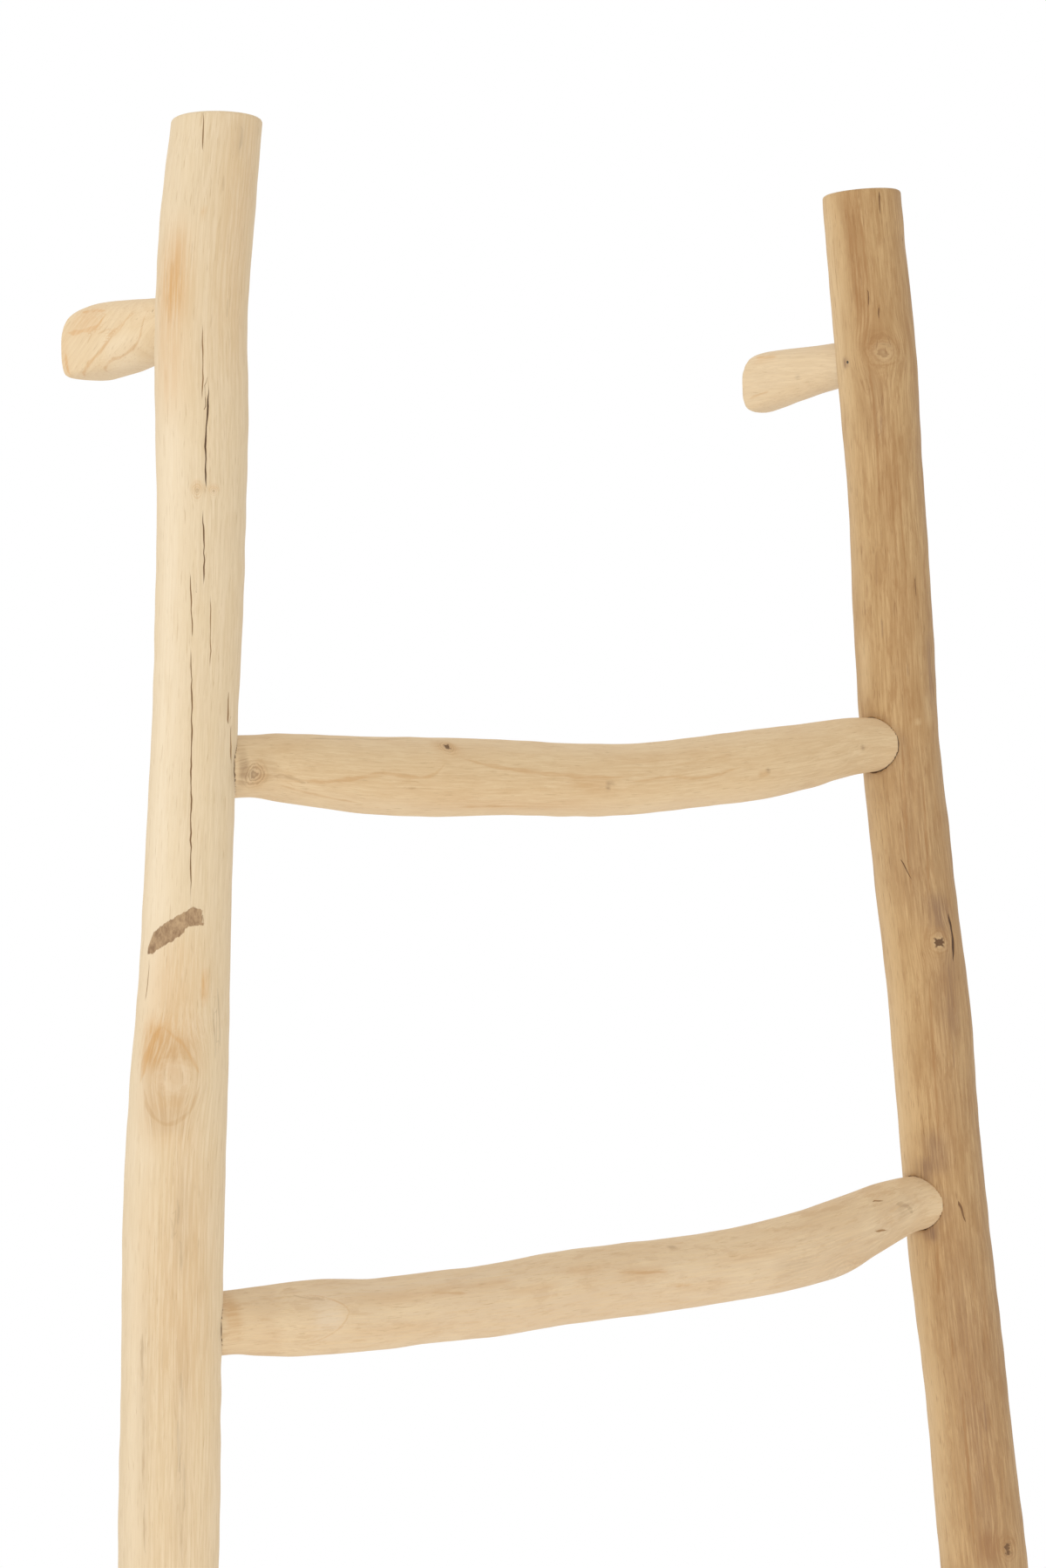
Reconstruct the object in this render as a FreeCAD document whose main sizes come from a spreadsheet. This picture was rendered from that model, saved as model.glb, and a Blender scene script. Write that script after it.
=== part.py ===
# Decorative ladder made of peeled branches: two rails, five rungs and two stand-off pegs.
# Every rung and peg ends in a round tenon that is glued into a blind mortise; a nail also holds each peg.
# Millimetres, +X to the ladder's right, +Y to the wall behind it, +Z up, floor at Z = 0.
import FreeCAD
import Part
import Sketcher
import os

RUNGS = ["rung_1", "rung_2", "rung_3", "rung_4", "rung_5"]
SIDES = {"left": -1, "right": 1}

# Heights from the floor up: the lowest rung, the step between rungs and the rails' run above the top rung
HEIGHTS = {
    "lowest_rung_height": 302,
    "rung_pitch": 290,
    "top_run": 338,
    "peg_below_top": 104,
}
# Joints of the rungs: the neck is the bare tenon between a rung's shoulder and its rail
JOINTS = {
    "tenon_diameter": 33,
    "tenon_clearance": 0.3,
    "tenon_end_room": 0.5,
    "tenon_chamfer": 1.5,
    "mortise_past_axis": 9,
    "neck": 2,
    "joint_half_height": 19,
    "bore_run_out": 12,
}
PEGS = {
    "peg_reach": 117,
    "peg_tenon_diameter": 27,
    "peg_mortise_past_axis": 8,
    "peg_swell": 18,
    "peg_taper": 26,
    "left_peg_root_diameter": 34.5,
    "left_peg_end_diameter": 40.5,
    "left_peg_end_width": 32,
    "left_peg_end_round": 6,
    "right_peg_root_diameter": 30.5,
    "right_peg_end_diameter": 37.5,
    "right_peg_end_width": 22,
    "right_peg_end_round": 8,
}
# Headless nails through the pegs' tenons, driven just below the rail's surface
NAILS = {
    "nail_length": 32,
    "nail_diameter": 3,
    "nail_point_length": 4,
    "nail_tip_width": 0.4,
    "nail_sink": 0.6,
    "nail_clearance": 0.2,
    "nail_hole_run_out": 12,
}
# Rail ends, sawn square, with a short straight stretch at each
RAIL_ENDS = {
    "straight_end": 10,
    "top_chamfer": 2,
    "foot_chamfer": 3,
}

doc = FreeCAD.newDocument("branch_ladder")
sizes = doc.addObject("Spreadsheet::Sheet", "Sizes")
size_row = 0


def set_size(alias, value):
    global size_row
    size_row += 1
    cell = "B%d" % size_row
    sizes.set("A%d" % size_row, alias)
    sizes.set(cell, str(value))
    sizes.setAlias(cell, alias)


for group in (HEIGHTS, JOINTS, PEGS, NAILS, RAIL_ENDS):
    for alias, value in group.items():
        set_size(alias, value)
set_size("ladder_height", "=lowest_rung_height + %d * rung_pitch + top_run" % (len(RUNGS) - 1))
set_size("peg_height", "=ladder_height - peg_below_top")

# Each rail is a branch measured at ten heights, from the floor up.
# A row gives the distance of its axis from the ladder's middle, its bow to the back and its diameter.
STATIONS = {
    "floor": "Sizes.straight_end",
    "rung_1": "Sizes.rung_1_{side}_height",
    "rung_2": "Sizes.rung_2_{side}_height",
    "rung_3": "Sizes.rung_3_{side}_height",
    "rung_4": "Sizes.rung_4_{side}_height",
    "middle_bay": "(Sizes.rung_4_{side}_height + Sizes.rung_5_{side}_height) / 2",
    "rung_5": "Sizes.rung_5_{side}_height",
    "upper_bay": "(Sizes.rung_5_{side}_height + Sizes.peg_height) / 2",
    "peg": "Sizes.peg_height",
    "top": "Sizes.ladder_height - Sizes.straight_end",
}
BORED_STATIONS = RUNGS + ["peg"]
RAIL_BRANCH = {
    "left": {
        "floor": (315, 0, 57),
        "rung_1": (310, 2, 55.5),
        "rung_2": (303, 3, 54.5),
        "rung_3": (293.5, 1, 53),
        "rung_4": (279, 0, 52),
        "middle_bay": (268, 0, 49.6),
        "rung_5": (254.5, 0, 45.6),
        "upper_bay": (247, -2, 46.2),
        "peg": (242, -4, 48.4),
        "top": (229.5, -5.5, 48.5),
    },
    "right": {
        "floor": (315, 0, 58),
        "rung_1": (316, -2, 56.5),
        "rung_2": (313, -3, 56),
        "rung_3": (304.5, -1, 54),
        "rung_4": (277, 0, 51.4),
        "middle_bay": (264.5, 0, 50),
        "rung_5": (250.8, 0, 48.2),
        "upper_bay": (248, 2.5, 47.2),
        "peg": (244.3, 5, 49),
        "top": (238, 6.5, 48.6),
    },
}
for side in SIDES:
    for station, (spread, bow, diameter) in RAIL_BRANCH[side].items():
        set_size("%s_%s_spread" % (side, station), spread)
        set_size("%s_%s_bow" % (side, station), bow)
        set_size("%s_%s_diameter" % (side, station), diameter)

# Each rung is a branch between the two rails. A row gives the rise above the line between its ends,
# the bow to the back and the diameter. Rows go from left to right and lie closer towards the ends.
# The right rise lifts the rung's right end over its left one.
RUNG_BRANCH = {
    "rung_1": [(1.5, 0.5, 39), (4, 3, 43.5), (-2, 4, 43.5), (-2, 0.5, 38.5)],
    "rung_2": [(-3, 0, 38.5), (-9, -3, 42.5), (-10, -3, 43), (-3.5, 0, 39)],
    "rung_3": [(2.5, 0.5, 38.5), (8, 2, 42.5), (8, 3, 42), (2.5, 0.5, 38)],
    "rung_4": [(-2, 0, 34.8), (-7.3, 0, 38.8), (-12.7, 0, 39.1), (-16, 0, 40), (-16.8, 0, 42),
               (-13.5, 0, 45.1), (-2.8, 0, 37.3)],
    "rung_5": [(-1.3, 0, 36.8), (-7.3, 0, 42.2), (-12.2, 0, 43), (-15, 0, 41.5), (-8.8, 0, 41.2),
               (-2.6, 0, 36.9)],
}
RUNG_RIGHT_RISE = {"rung_4": 7}
for step, joint in enumerate(RUNGS):
    set_size(joint + "_right_rise", RUNG_RIGHT_RISE.get(joint, 0))
    set_size(joint + "_left_height", "=lowest_rung_height + %d * rung_pitch" % step)
    set_size(joint + "_right_height", "=%s_left_height + %s_right_rise" % (joint, joint))
    set_size(joint + "_left_mouth", "=-left_%s_spread + left_%s_diameter / 2 + neck" % (joint, joint))
    set_size(joint + "_right_mouth", "=right_%s_spread - right_%s_diameter / 2 - neck" % (joint, joint))
    for bend, (rise, bow, diameter) in enumerate(RUNG_BRANCH[joint], 1):
        set_size("%s_bend_%d_rise" % (joint, bend), rise)
        set_size("%s_bend_%d_bow" % (joint, bend), bow)
        set_size("%s_bend_%d_diameter" % (joint, bend), diameter)

# The rails stand this far in front of the origin, which is the middle of the floor space the ladder takes.
set_size("rail_setback", "=(peg_reach - right_floor_diameter / 2) / 2")
doc.recompute()


# World directions along the local x, y and z of a sketch on each origin plane
PLANE_AXES = {
    "XY_Plane": ("{x}", "{y}", "{z}"),
    "YZ_Plane": ("{y}", "{z}", "{x}"),
    "XZ_Plane": ("{x}", "{z}", "-({y})"),
}
EDGE_TOLERANCE = 0.01
CUTS = ["PartDesign::Pocket", "PartDesign::SubtractiveBox", "PartDesign::Mirrored"]
LEAST_CUT_VOLUME = 1


def new_body(label):
    body = doc.addObject("PartDesign::Body", label)
    body.Label = label
    body.setExpression("Placement.Base.y", "-Sizes.rail_setback")
    return body


def origin_plane(body, plane):
    return [feature for feature in body.Origin.OriginFeatures if feature.Role == plane][0]


def round_sketch(body, name, plane, x, y, z, diameter, slope=None):
    sketch = body.newObject("Sketcher::SketchObject", name)
    sketch.AttachmentSupport = [(origin_plane(body, plane), "")]
    sketch.MapMode = "FlatFace"
    if slope:
        sketch.AttachmentOffset = FreeCAD.Placement(
            FreeCAD.Vector(0, 0, 0), FreeCAD.Rotation(FreeCAD.Vector(0, 1, 0), 1))
        sketch.setExpression("AttachmentOffset.Rotation.Angle", "atan(%s)" % slope)
    for axis, direction in zip("xyz", PLANE_AXES[plane]):
        sketch.setExpression("AttachmentOffset.Base." + axis, direction.format(x=x, y=y, z=z))
    outline = Part.Circle()
    circle = sketch.addGeometry(outline)
    sketch.addConstraint(Sketcher.Constraint("Coincident", circle, 3, -1, 1))
    across = sketch.addConstraint(Sketcher.Constraint("Diameter", circle, 2 * outline.Radius))
    sketch.setExpression("Constraints[%d]" % across, diameter)
    return sketch


# A measured section is its x, y, z and diameter. Between each two of them lies one more section,
# on the smooth curve through its neighbours, so that the branch bends in small steps.
def smooth_sections(measured):
    sections = []
    for index in range(len(measured) - 1):
        here = measured[index]
        following = measured[index + 1]
        if index == 0:
            blend = "(3 * ({0}) + 6 * ({1}) - ({3})) / 8"
        elif index == len(measured) - 2:
            blend = "(6 * ({0}) + 3 * ({1}) - ({2})) / 8"
        else:
            blend = "(9 * ({0}) + 9 * ({1}) - ({2}) - ({3})) / 16"
        before = measured[max(index - 1, 0)]
        after = measured[min(index + 2, len(measured) - 1)]
        sections.append(here)
        sections.append([blend.format(*values) for values in zip(here, following, before, after)])
    sections.append(measured[-1])
    return sections


# A bored joint lies within one straight round stretch of the rail, on the slope between its neighbours:
# its measured section gives way to one below it and one above it, square to that slope.
def joint_sections(before, joint, after):
    x, y, z, diameter = joint
    slope = "((%s) - (%s)) / ((%s) - (%s))" % (after[0], before[0], after[2], before[2])
    sections = []
    for way in ("-", "+"):
        step = "%s Sizes.joint_half_height" % way
        sections.append(["%s %s * (%s)" % (x, step, slope), y, "%s %s" % (z, step), diameter, slope])
    return sections


def make_branch(body, name, plane, sections):
    sketches = []
    for index, section in enumerate(sections):
        sketches.append(round_sketch(body, "%s_section_%d" % (name, index), plane, *section))
    branch = body.newObject("PartDesign::AdditiveLoft", name)
    branch.Profile = sketches[0]
    branch.Sections = sketches[1:]
    branch.Ruled = True
    body.Tip = branch
    doc.recompute()


def sweep_straight(body, kind, name, sketch, length, backward):
    feature = body.newObject("PartDesign::" + kind, name)
    feature.Profile = sketch
    feature.Reversed = backward
    feature.setExpression("Length", length)
    body.Tip = feature
    doc.recompute()


def end_edges(shape, axis, place):
    names = []
    for index, edge in enumerate(shape.Edges, 1):
        box = edge.BoundBox
        low = getattr(box, axis + "Min")
        high = getattr(box, axis + "Max")
        if abs(low - place) < EDGE_TOLERANCE and abs(high - place) < EDGE_TOLERANCE:
            names.append("Edge%d" % index)
    return names


def chamfer_end(body, name, axis, place, value):
    base = body.Tip
    feature = body.newObject("PartDesign::Chamfer", name)
    feature.Base = (base, end_edges(base.Shape, axis, place))
    feature.setExpression("Size", value)
    body.Tip = feature
    doc.recompute()


# Rails
def make_rail(side):
    sign = SIDES[side]
    body = new_body(side + "_rail")
    axis_x = "%d * Sizes.%s_%s_spread"
    axis_y = "Sizes.%s_%s_bow"
    across = "Sizes.%s_%s_diameter"
    measured = []
    for station, height in STATIONS.items():
        measured.append([axis_x % (sign, side, station), axis_y % (side, station),
                         height.format(side=side), across % (side, station)])
    sections = []
    for index, station in enumerate(STATIONS):
        if station in BORED_STATIONS:
            sections += joint_sections(measured[index - 1], measured[index], measured[index + 1])
        else:
            sections.append(measured[index])
    make_branch(body, side + "_rail_branch", "XY_Plane", sections)
    for station, height in [("floor", STATIONS["floor"]), ("top", STATIONS["top"])]:
        start = round_sketch(body, "%s_%s_start" % (side, station), "XY_Plane",
                             axis_x % (sign, side, station), axis_y % (side, station), height,
                             across % (side, station))
        sweep_straight(body, "Pad", "%s_%s_end" % (side, station), start, "Sizes.straight_end",
                       station == "floor")
    chamfer_end(body, side + "_top_edge", "Z", sizes.ladder_height, "Sizes.top_chamfer")
    chamfer_end(body, side + "_foot_edge", "Z", 0, "Sizes.foot_chamfer")

    # Blind mortises for the rungs, bored from the inner side
    for joint in RUNGS:
        x = axis_x % (sign, side, joint)
        y = axis_y % (side, joint)
        radius = across % (side, joint) + " / 2"
        z = "Sizes.%s_%s_height" % (joint, side)
        mortise = round_sketch(
            body, "%s_%s_mortise_end" % (side, joint), "YZ_Plane",
            x + " + %d * Sizes.mortise_past_axis" % sign, y, z,
            "Sizes.tenon_diameter + Sizes.tenon_clearance")
        sweep_straight(body, "Pocket", "%s_%s_mortise" % (side, joint), mortise,
                       "Sizes.mortise_past_axis + Sizes.bore_run_out + " + radius, side == "left")

    # Mortise for the peg, bored from the back, with a nail hole from the inner side
    x = axis_x % (sign, side, "peg")
    y = axis_y % (side, "peg")
    z = "Sizes.peg_height"
    radius = across % (side, "peg") + " / 2"
    mortise = round_sketch(
        body, side + "_peg_mortise_end", "XZ_Plane",
        x, y + " - Sizes.peg_mortise_past_axis", z, "Sizes.peg_tenon_diameter + Sizes.tenon_clearance")
    sweep_straight(body, "Pocket", side + "_peg_mortise", mortise,
                   "Sizes.peg_mortise_past_axis + Sizes.bore_run_out + " + radius, False)
    cut_nail_hole(body, side, x + " - %d * " % sign + radius, y, z)
    return body


# A nail hole starts at the nail's point and runs out past the rail's inner surface at x, y, z.
def cut_nail_hole(body, side, x, y, z):
    depth = "%+d * (Sizes.nail_sink + Sizes.nail_length + Sizes.nail_clearance)" % SIDES[side]
    point = round_sketch(body, body.Label + "_nail_point", "YZ_Plane", "%s %s" % (x, depth), y, z,
                         "Sizes.nail_diameter + Sizes.nail_clearance")
    sweep_straight(body, "Pocket", body.Label + "_nail_hole", point,
                   "Sizes.nail_length + Sizes.nail_hole_run_out", side == "left")


# Rungs
def make_rung(joint):
    body = new_body(joint)
    body.setExpression("Placement.Base.z", "Sizes.%s_left_height" % joint)
    left_mouth = "Sizes.%s_left_mouth" % joint
    right_mouth = "Sizes.%s_right_mouth" % joint
    left_bow = "Sizes.left_%s_bow" % joint
    right_bow = "Sizes.right_%s_bow" % joint
    right_rise = "Sizes.%s_right_rise" % joint

    measured = [[left_mouth, left_bow, "0", "Sizes.tenon_diameter"]]
    bend_count = len(RUNG_BRANCH[joint])
    for bend in range(1, bend_count + 1):
        size = "Sizes.%s_bend_%d_" % (joint, bend)
        share = "(1 - cos(180 * %d / %d)) / 2" % (bend, bend_count + 1)
        x = "%s + %s * (%s - %s)" % (left_mouth, share, right_mouth, left_mouth)
        y = "%s + %s * (%s - %s) + %sbow" % (left_bow, share, right_bow, left_bow, size)
        z = "%s * %s + %srise" % (share, right_rise, size)
        measured.append([x, y, z, size + "diameter"])
    measured.append([right_mouth, right_bow, right_rise, "Sizes.tenon_diameter"])
    make_branch(body, joint + "_branch", "YZ_Plane", smooth_sections(measured))

    # Round tenons
    for side, sign in SIDES.items():
        mouth = left_mouth if side == "left" else right_mouth
        bow = left_bow if side == "left" else right_bow
        z = "0" if side == "left" else right_rise
        radius = "Sizes.%s_%s_diameter / 2" % (side, joint)
        start = round_sketch(body, "%s_%s_tenon_start" % (joint, side), "YZ_Plane", mouth, bow, z,
                             "Sizes.tenon_diameter")
        tenon_length = radius + " + Sizes.neck + Sizes.mortise_past_axis - Sizes.tenon_end_room"
        sweep_straight(body, "Pad", "%s_%s_tenon" % (joint, side), start, tenon_length, side == "left")
        axis_x = sign * sizes.get("%s_%s_spread" % (side, joint))
        tenon_end = axis_x + sign * (sizes.mortise_past_axis - sizes.tenon_end_room)
        chamfer_end(body, "%s_%s_tenon_edge" % (joint, side), "X", tenon_end, "Sizes.tenon_chamfer")
    return body


# Pegs, each taller towards its free end, which is rounded over in steps of a quarter circle
PEG_ROUND_TURNS = [0, 45, 90]


# Two flat cheeks, planed from the peg's full width at the start down to its end width
def plane_cheeks(body, side, start, length):
    size = "Sizes.%s_peg_" % side
    tall = "(%send_diameter + 2 * Sizes.bore_run_out)" % size
    cheek = body.newObject("PartDesign::SubtractiveBox", side + "_peg_cheek")
    cheek.AttachmentSupport = [(origin_plane(body, "XY_Plane"), "")]
    cheek.MapMode = "FlatFace"
    cheek.AttachmentOffset = FreeCAD.Placement(
        FreeCAD.Vector(0, 0, 0), FreeCAD.Rotation(FreeCAD.Vector(0, 0, 1), 1))
    cheek.setExpression("AttachmentOffset.Rotation.Angle",
                        "atan((%sroot_diameter - %send_width) / 2 / (%s))" % (size, size, length))
    cheek.setExpression("AttachmentOffset.Base.x", size + "root_diameter / 2")
    cheek.setExpression("AttachmentOffset.Base.y", start)
    cheek.setExpression("AttachmentOffset.Base.z", "-%s / 2" % tall)
    cheek.setExpression("Length", size + "end_diameter")
    cheek.setExpression("Width", "%s + Sizes.bore_run_out" % length)
    cheek.setExpression("Height", tall)
    body.Tip = cheek
    doc.recompute()
    both = body.newObject("PartDesign::Mirrored", side + "_peg_cheeks")
    both.Originals = [cheek]
    both.MirrorPlane = (origin_plane(body, "YZ_Plane"), [""])
    body.Tip = both
    doc.recompute()


def make_peg(side):
    sign = SIDES[side]
    body = new_body(side + "_peg")
    body.setExpression("Placement.Base.x", "%d * Sizes.%s_peg_spread" % (sign, side))
    body.setExpression("Placement.Base.y", "Sizes.%s_peg_bow - Sizes.rail_setback" % side)
    body.setExpression("Placement.Base.z", "Sizes.peg_height")
    size = "Sizes.%s_peg_" % side
    root = size + "diameter / 2 + Sizes.neck"
    swell_end = root + " + Sizes.peg_swell"
    end = "(Sizes.peg_reach - %sbow)" % size
    sections = [
        ["0", root, "0", "Sizes.peg_tenon_diameter"],
        ["0", swell_end, "0", size + "root_diameter"],
        ["0", swell_end + " + Sizes.peg_taper", "0", size + "end_diameter"],
    ]
    for turn in PEG_ROUND_TURNS:
        y = "%s - %send_round * (1 - sin(%d))" % (end, size, turn)
        diameter = "%send_diameter - 2 * %send_round * (1 - cos(%d))" % (size, size, turn)
        sections.append(["0", y, "0", diameter])
    make_branch(body, side + "_peg_branch", "XZ_Plane", sections)
    plane_cheeks(body, side, swell_end, "(%s - (%s))" % (end, swell_end))
    start = round_sketch(body, side + "_peg_tenon_start", "XZ_Plane", "0", root, "0",
                         "Sizes.peg_tenon_diameter")
    sweep_straight(body, "Pad", side + "_peg_tenon", start,
                   root + " + Sizes.peg_mortise_past_axis - Sizes.tenon_end_room", False)
    tenon_end = -(sizes.peg_mortise_past_axis - sizes.tenon_end_room)
    chamfer_end(body, side + "_peg_tenon_edge", "Y", tenon_end, "Sizes.tenon_chamfer")
    cut_nail_hole(body, side, "%d * %sdiameter / 2" % (-sign, size), "0", "0")
    return body


# One nail with its top at Z = 0 and its point down. The point is a four-sided wire-cut pyramid,
# as wide over its corners as the shank and blunted at the tip.
def make_nail():
    shank = doc.addObject("Part::Cylinder", "nail_shank")
    shank.setExpression("Radius", "Sizes.nail_diameter / 2")
    shank.setExpression("Height", "Sizes.nail_length - Sizes.nail_point_length")
    shank.setExpression("Placement.Base.z", "Sizes.nail_point_length - Sizes.nail_length")
    point = doc.addObject("Part::Wedge", "nail_point")
    half_width = "Sizes.nail_diameter / sqrt(8)"
    half_tip = "Sizes.nail_tip_width / 2"
    point.Ymin = 0
    point.setExpression("Ymax", "Sizes.nail_point_length")
    for axis in ("X", "Z"):
        point.setExpression(axis + "min", "-" + half_width)
        point.setExpression(axis + "max", half_width)
        point.setExpression(axis + "2min", "-" + half_tip)
        point.setExpression(axis + "2max", half_tip)
    point.Placement = FreeCAD.Placement(
        FreeCAD.Vector(0, 0, 0), FreeCAD.Rotation(FreeCAD.Vector(1, 0, 0), -90))
    point.setExpression("Placement.Base.z", "Sizes.nail_point_length - Sizes.nail_length")
    nail = doc.addObject("Part::Fuse", "nail")
    nail.Base = shank
    nail.Tool = point
    nail.Refine = True
    doc.recompute()
    return nail


def place_nail(nail, name, x, y, z, rotation):
    link = doc.addObject("App::Link", name)
    link.LinkedObject = nail
    link.Placement = FreeCAD.Placement(FreeCAD.Vector(0, 0, 0), rotation)
    link.setExpression("Placement.Base.x", x)
    link.setExpression("Placement.Base.y", y + " - Sizes.rail_setback")
    link.setExpression("Placement.Base.z", z)
    return link


def make_peg_nails():
    nail = make_nail()
    nails = []
    for side, sign in SIDES.items():
        point_outward = FreeCAD.Rotation(FreeCAD.Vector(0, 1, 0), -90 * sign)
        size = "Sizes.%s_peg_" % side
        x = "%d * (%sspread - %sdiameter / 2 + Sizes.nail_sink)" % (sign, size, size)
        nails.append(place_nail(nail, side + "_nail", x, size + "bow", "Sizes.peg_height", point_outward))
    group = doc.addObject("Part::Compound", "peg_nails")
    group.Label = "peg_nails"
    group.Links = nails
    return group


nodes = [make_rail(side) for side in SIDES]
nodes += [make_rung(joint) for joint in RUNGS]
nodes += [make_peg(side) for side in SIDES]
nodes.append(make_peg_nails())
doc.recompute()

# Every feature has to be sound, and every cut has to take wood away
for item in doc.Objects:
    if "Invalid" in item.State or "Error" in item.State:
        raise RuntimeError("%s did not build: %s" % (item.Name, item.State))
    if item.TypeId in CUTS:
        if item.BaseFeature.Shape.Volume - item.Shape.Volume < LEAST_CUT_VOLUME:
            raise RuntimeError("%s cuts nothing" % item.Name)

os.makedirs("parts", exist_ok=True)
for node in nodes:
    if node.Shape.isNull() or not node.Shape.isValid():
        raise RuntimeError("%s has no valid shape" % node.Label)
    node.Shape.exportStep("parts/%s.step" % node.Label)
    box = node.Shape.BoundBox
    print("%-11s solids %2d  volume %9.0f  x %.1f..%.1f  y %.1f..%.1f  z %.1f..%.1f" % (
        node.Label, len(node.Shape.Solids), node.Shape.Volume,
        box.XMin, box.XMax, box.YMin, box.YMax, box.ZMin, box.ZMax))
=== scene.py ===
# Branch ladder: peeled, bent branches with round tenons, two stand-off pegs and the nails that hold them.
import bpy
import numpy as np
from mathutils import Matrix


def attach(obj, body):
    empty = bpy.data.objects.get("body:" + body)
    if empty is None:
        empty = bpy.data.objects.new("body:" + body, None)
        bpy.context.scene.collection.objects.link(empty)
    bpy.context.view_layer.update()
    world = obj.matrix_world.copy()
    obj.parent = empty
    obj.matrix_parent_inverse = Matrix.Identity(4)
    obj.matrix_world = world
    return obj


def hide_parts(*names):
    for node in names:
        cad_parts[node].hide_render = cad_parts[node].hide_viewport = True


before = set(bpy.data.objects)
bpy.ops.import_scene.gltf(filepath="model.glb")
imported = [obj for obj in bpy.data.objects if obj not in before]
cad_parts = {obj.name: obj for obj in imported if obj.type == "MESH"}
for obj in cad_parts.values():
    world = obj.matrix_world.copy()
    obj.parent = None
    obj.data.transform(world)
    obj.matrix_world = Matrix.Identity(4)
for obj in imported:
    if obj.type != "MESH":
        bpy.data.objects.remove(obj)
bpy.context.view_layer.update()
print("frame loaded:", len(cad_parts), "nodes")

mm = 0.001  # pieces are worked out in millimetres, Blender holds metres


# Curves and grids

def smoothLine(stations, values, at):
    # cubic Hermite: each span blends its two ends and their slopes
    slopes = np.gradient(values, stations)
    span = np.clip(np.searchsorted(stations, at) - 1, 0, len(stations) - 2)
    width = stations[span + 1] - stations[span]
    t = np.clip((at - stations[span]) / width, 0, 1)
    ends = (2*t**3 - 3*t**2 + 1) * values[span] + (3*t**2 - 2*t**3) * values[span + 1]
    return ends + width * ((t**3 - 2*t**2 + t) * slopes[span] + (t**3 - t**2) * slopes[span + 1])


def gather(low, high, coarse, fine, spots, reach):
    # stations from low to high whose spacing shrinks from coarse to fine near the spots
    probe = np.linspace(low, high, 6000)  # close enough for the longest branch
    near = np.abs(probe[:, None] - np.array(spots, float)).min(axis=1)
    density = 1/coarse + (1/fine - 1/coarse) * np.exp(-(near / reach)**4)
    total = np.concatenate([[0], np.cumsum((density[1:] + density[:-1]) / 2 * np.diff(probe))])
    return np.interp(np.linspace(0, total[-1], int(total[-1]) + 1), total, probe)


def uneven(along, around, seed, depth, length):
    # sum of slanted waves that close round the branch: cos(turns * angle + along / length + phase)
    rng = np.random.default_rng(seed)
    waves = 12
    turns = rng.integers(0, 5, waves)  # whole turns, so that each wave meets itself
    pace = rng.uniform(0.6, 1.8, waves) * rng.choice([-1, 1], waves) * 2*np.pi / length
    phase = rng.uniform(0, 2*np.pi, waves)
    angles = turns * around[..., None] + pace * along[..., None] + phase
    return depth * np.cos(angles).sum(axis=-1) / np.sqrt(waves)


def wrapped(angle):
    # the same turn, between -pi and pi
    return (angle + np.pi) % (2*np.pi) - np.pi


def endRows(ease, crown):
    # rows of one end from the side to its middle: a quarter round, then the face with a little crown
    turn = np.radians([20, 45, 70, 90])
    face = np.linspace(0.92, 0.08, 10)
    share = np.concatenate([np.ones(len(turn)), face])
    inset = np.concatenate([ease * (1 - np.cos(turn)), np.full(len(face), ease)])
    past = np.concatenate([ease * np.sin(turn), np.full(len(face), ease)]) + crown * (1 - share**2)
    return past, inset, share


def newObject(name, data):
    # an object at the origin, linked to the scene
    made = bpy.data.objects.new(name, data)
    bpy.context.scene.collection.objects.link(made)
    return made


# Branch surface: centre(s) + radius(s, angle) * (cos(angle) * first + sin(angle) * second), with first
# square to the piece's axis and second = axis x first

growth = dict(
    longWave=170, shortWave=38, shortShare=0.35,  # lengths of the uneven waves, share of the short ones
    barkRise=0.35, barkEdge=1.2,  # how far the bark stands out, width of its edge
    cornerSharp=14.0, leastSide=0.05,  # corners between round and flat sides
    topReach=60,  # length over which a sawn top's lean fades
    markReach=20,  # rows are finer this near to a knot or a seat
    grainShift=700)  # each seed moves on this far along the grain
lineHabit = dict(
    step=3, wander=0.16,  # spacing of a line's points and how far they stray
    taper=0.18, ripple=0.3, ripplePace=0.35,  # share of its length that thins out, how its width varies
    margin=5, reach=4.6, far=9.0,  # rows past its ends, how near it counts, distance where no line is near
    fadeFrom=3.4, fadeOver=1.2, grooveHalf=0.8)
knotHabit = dict(  # reaches are in knot sizes, the heart's depth in millimetres
    swellReach=1.9, heartDepth=0.9, heartReach=0.4, push=0.7, pushReach=1.8, fadeFrom=3.2)
farOff = 20.0  # stands for any longer distance from the bark or a seat

crossAxes = {"z": (0, 1), "x": (2, 1), "y": (0, 2)}  # which coordinates the line's two offsets belong to
firstWay = {"z": (0, -1, 0), "x": (0, -1, 0), "y": (0, 0, 1)}  # where the angle round the branch is 0


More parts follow.
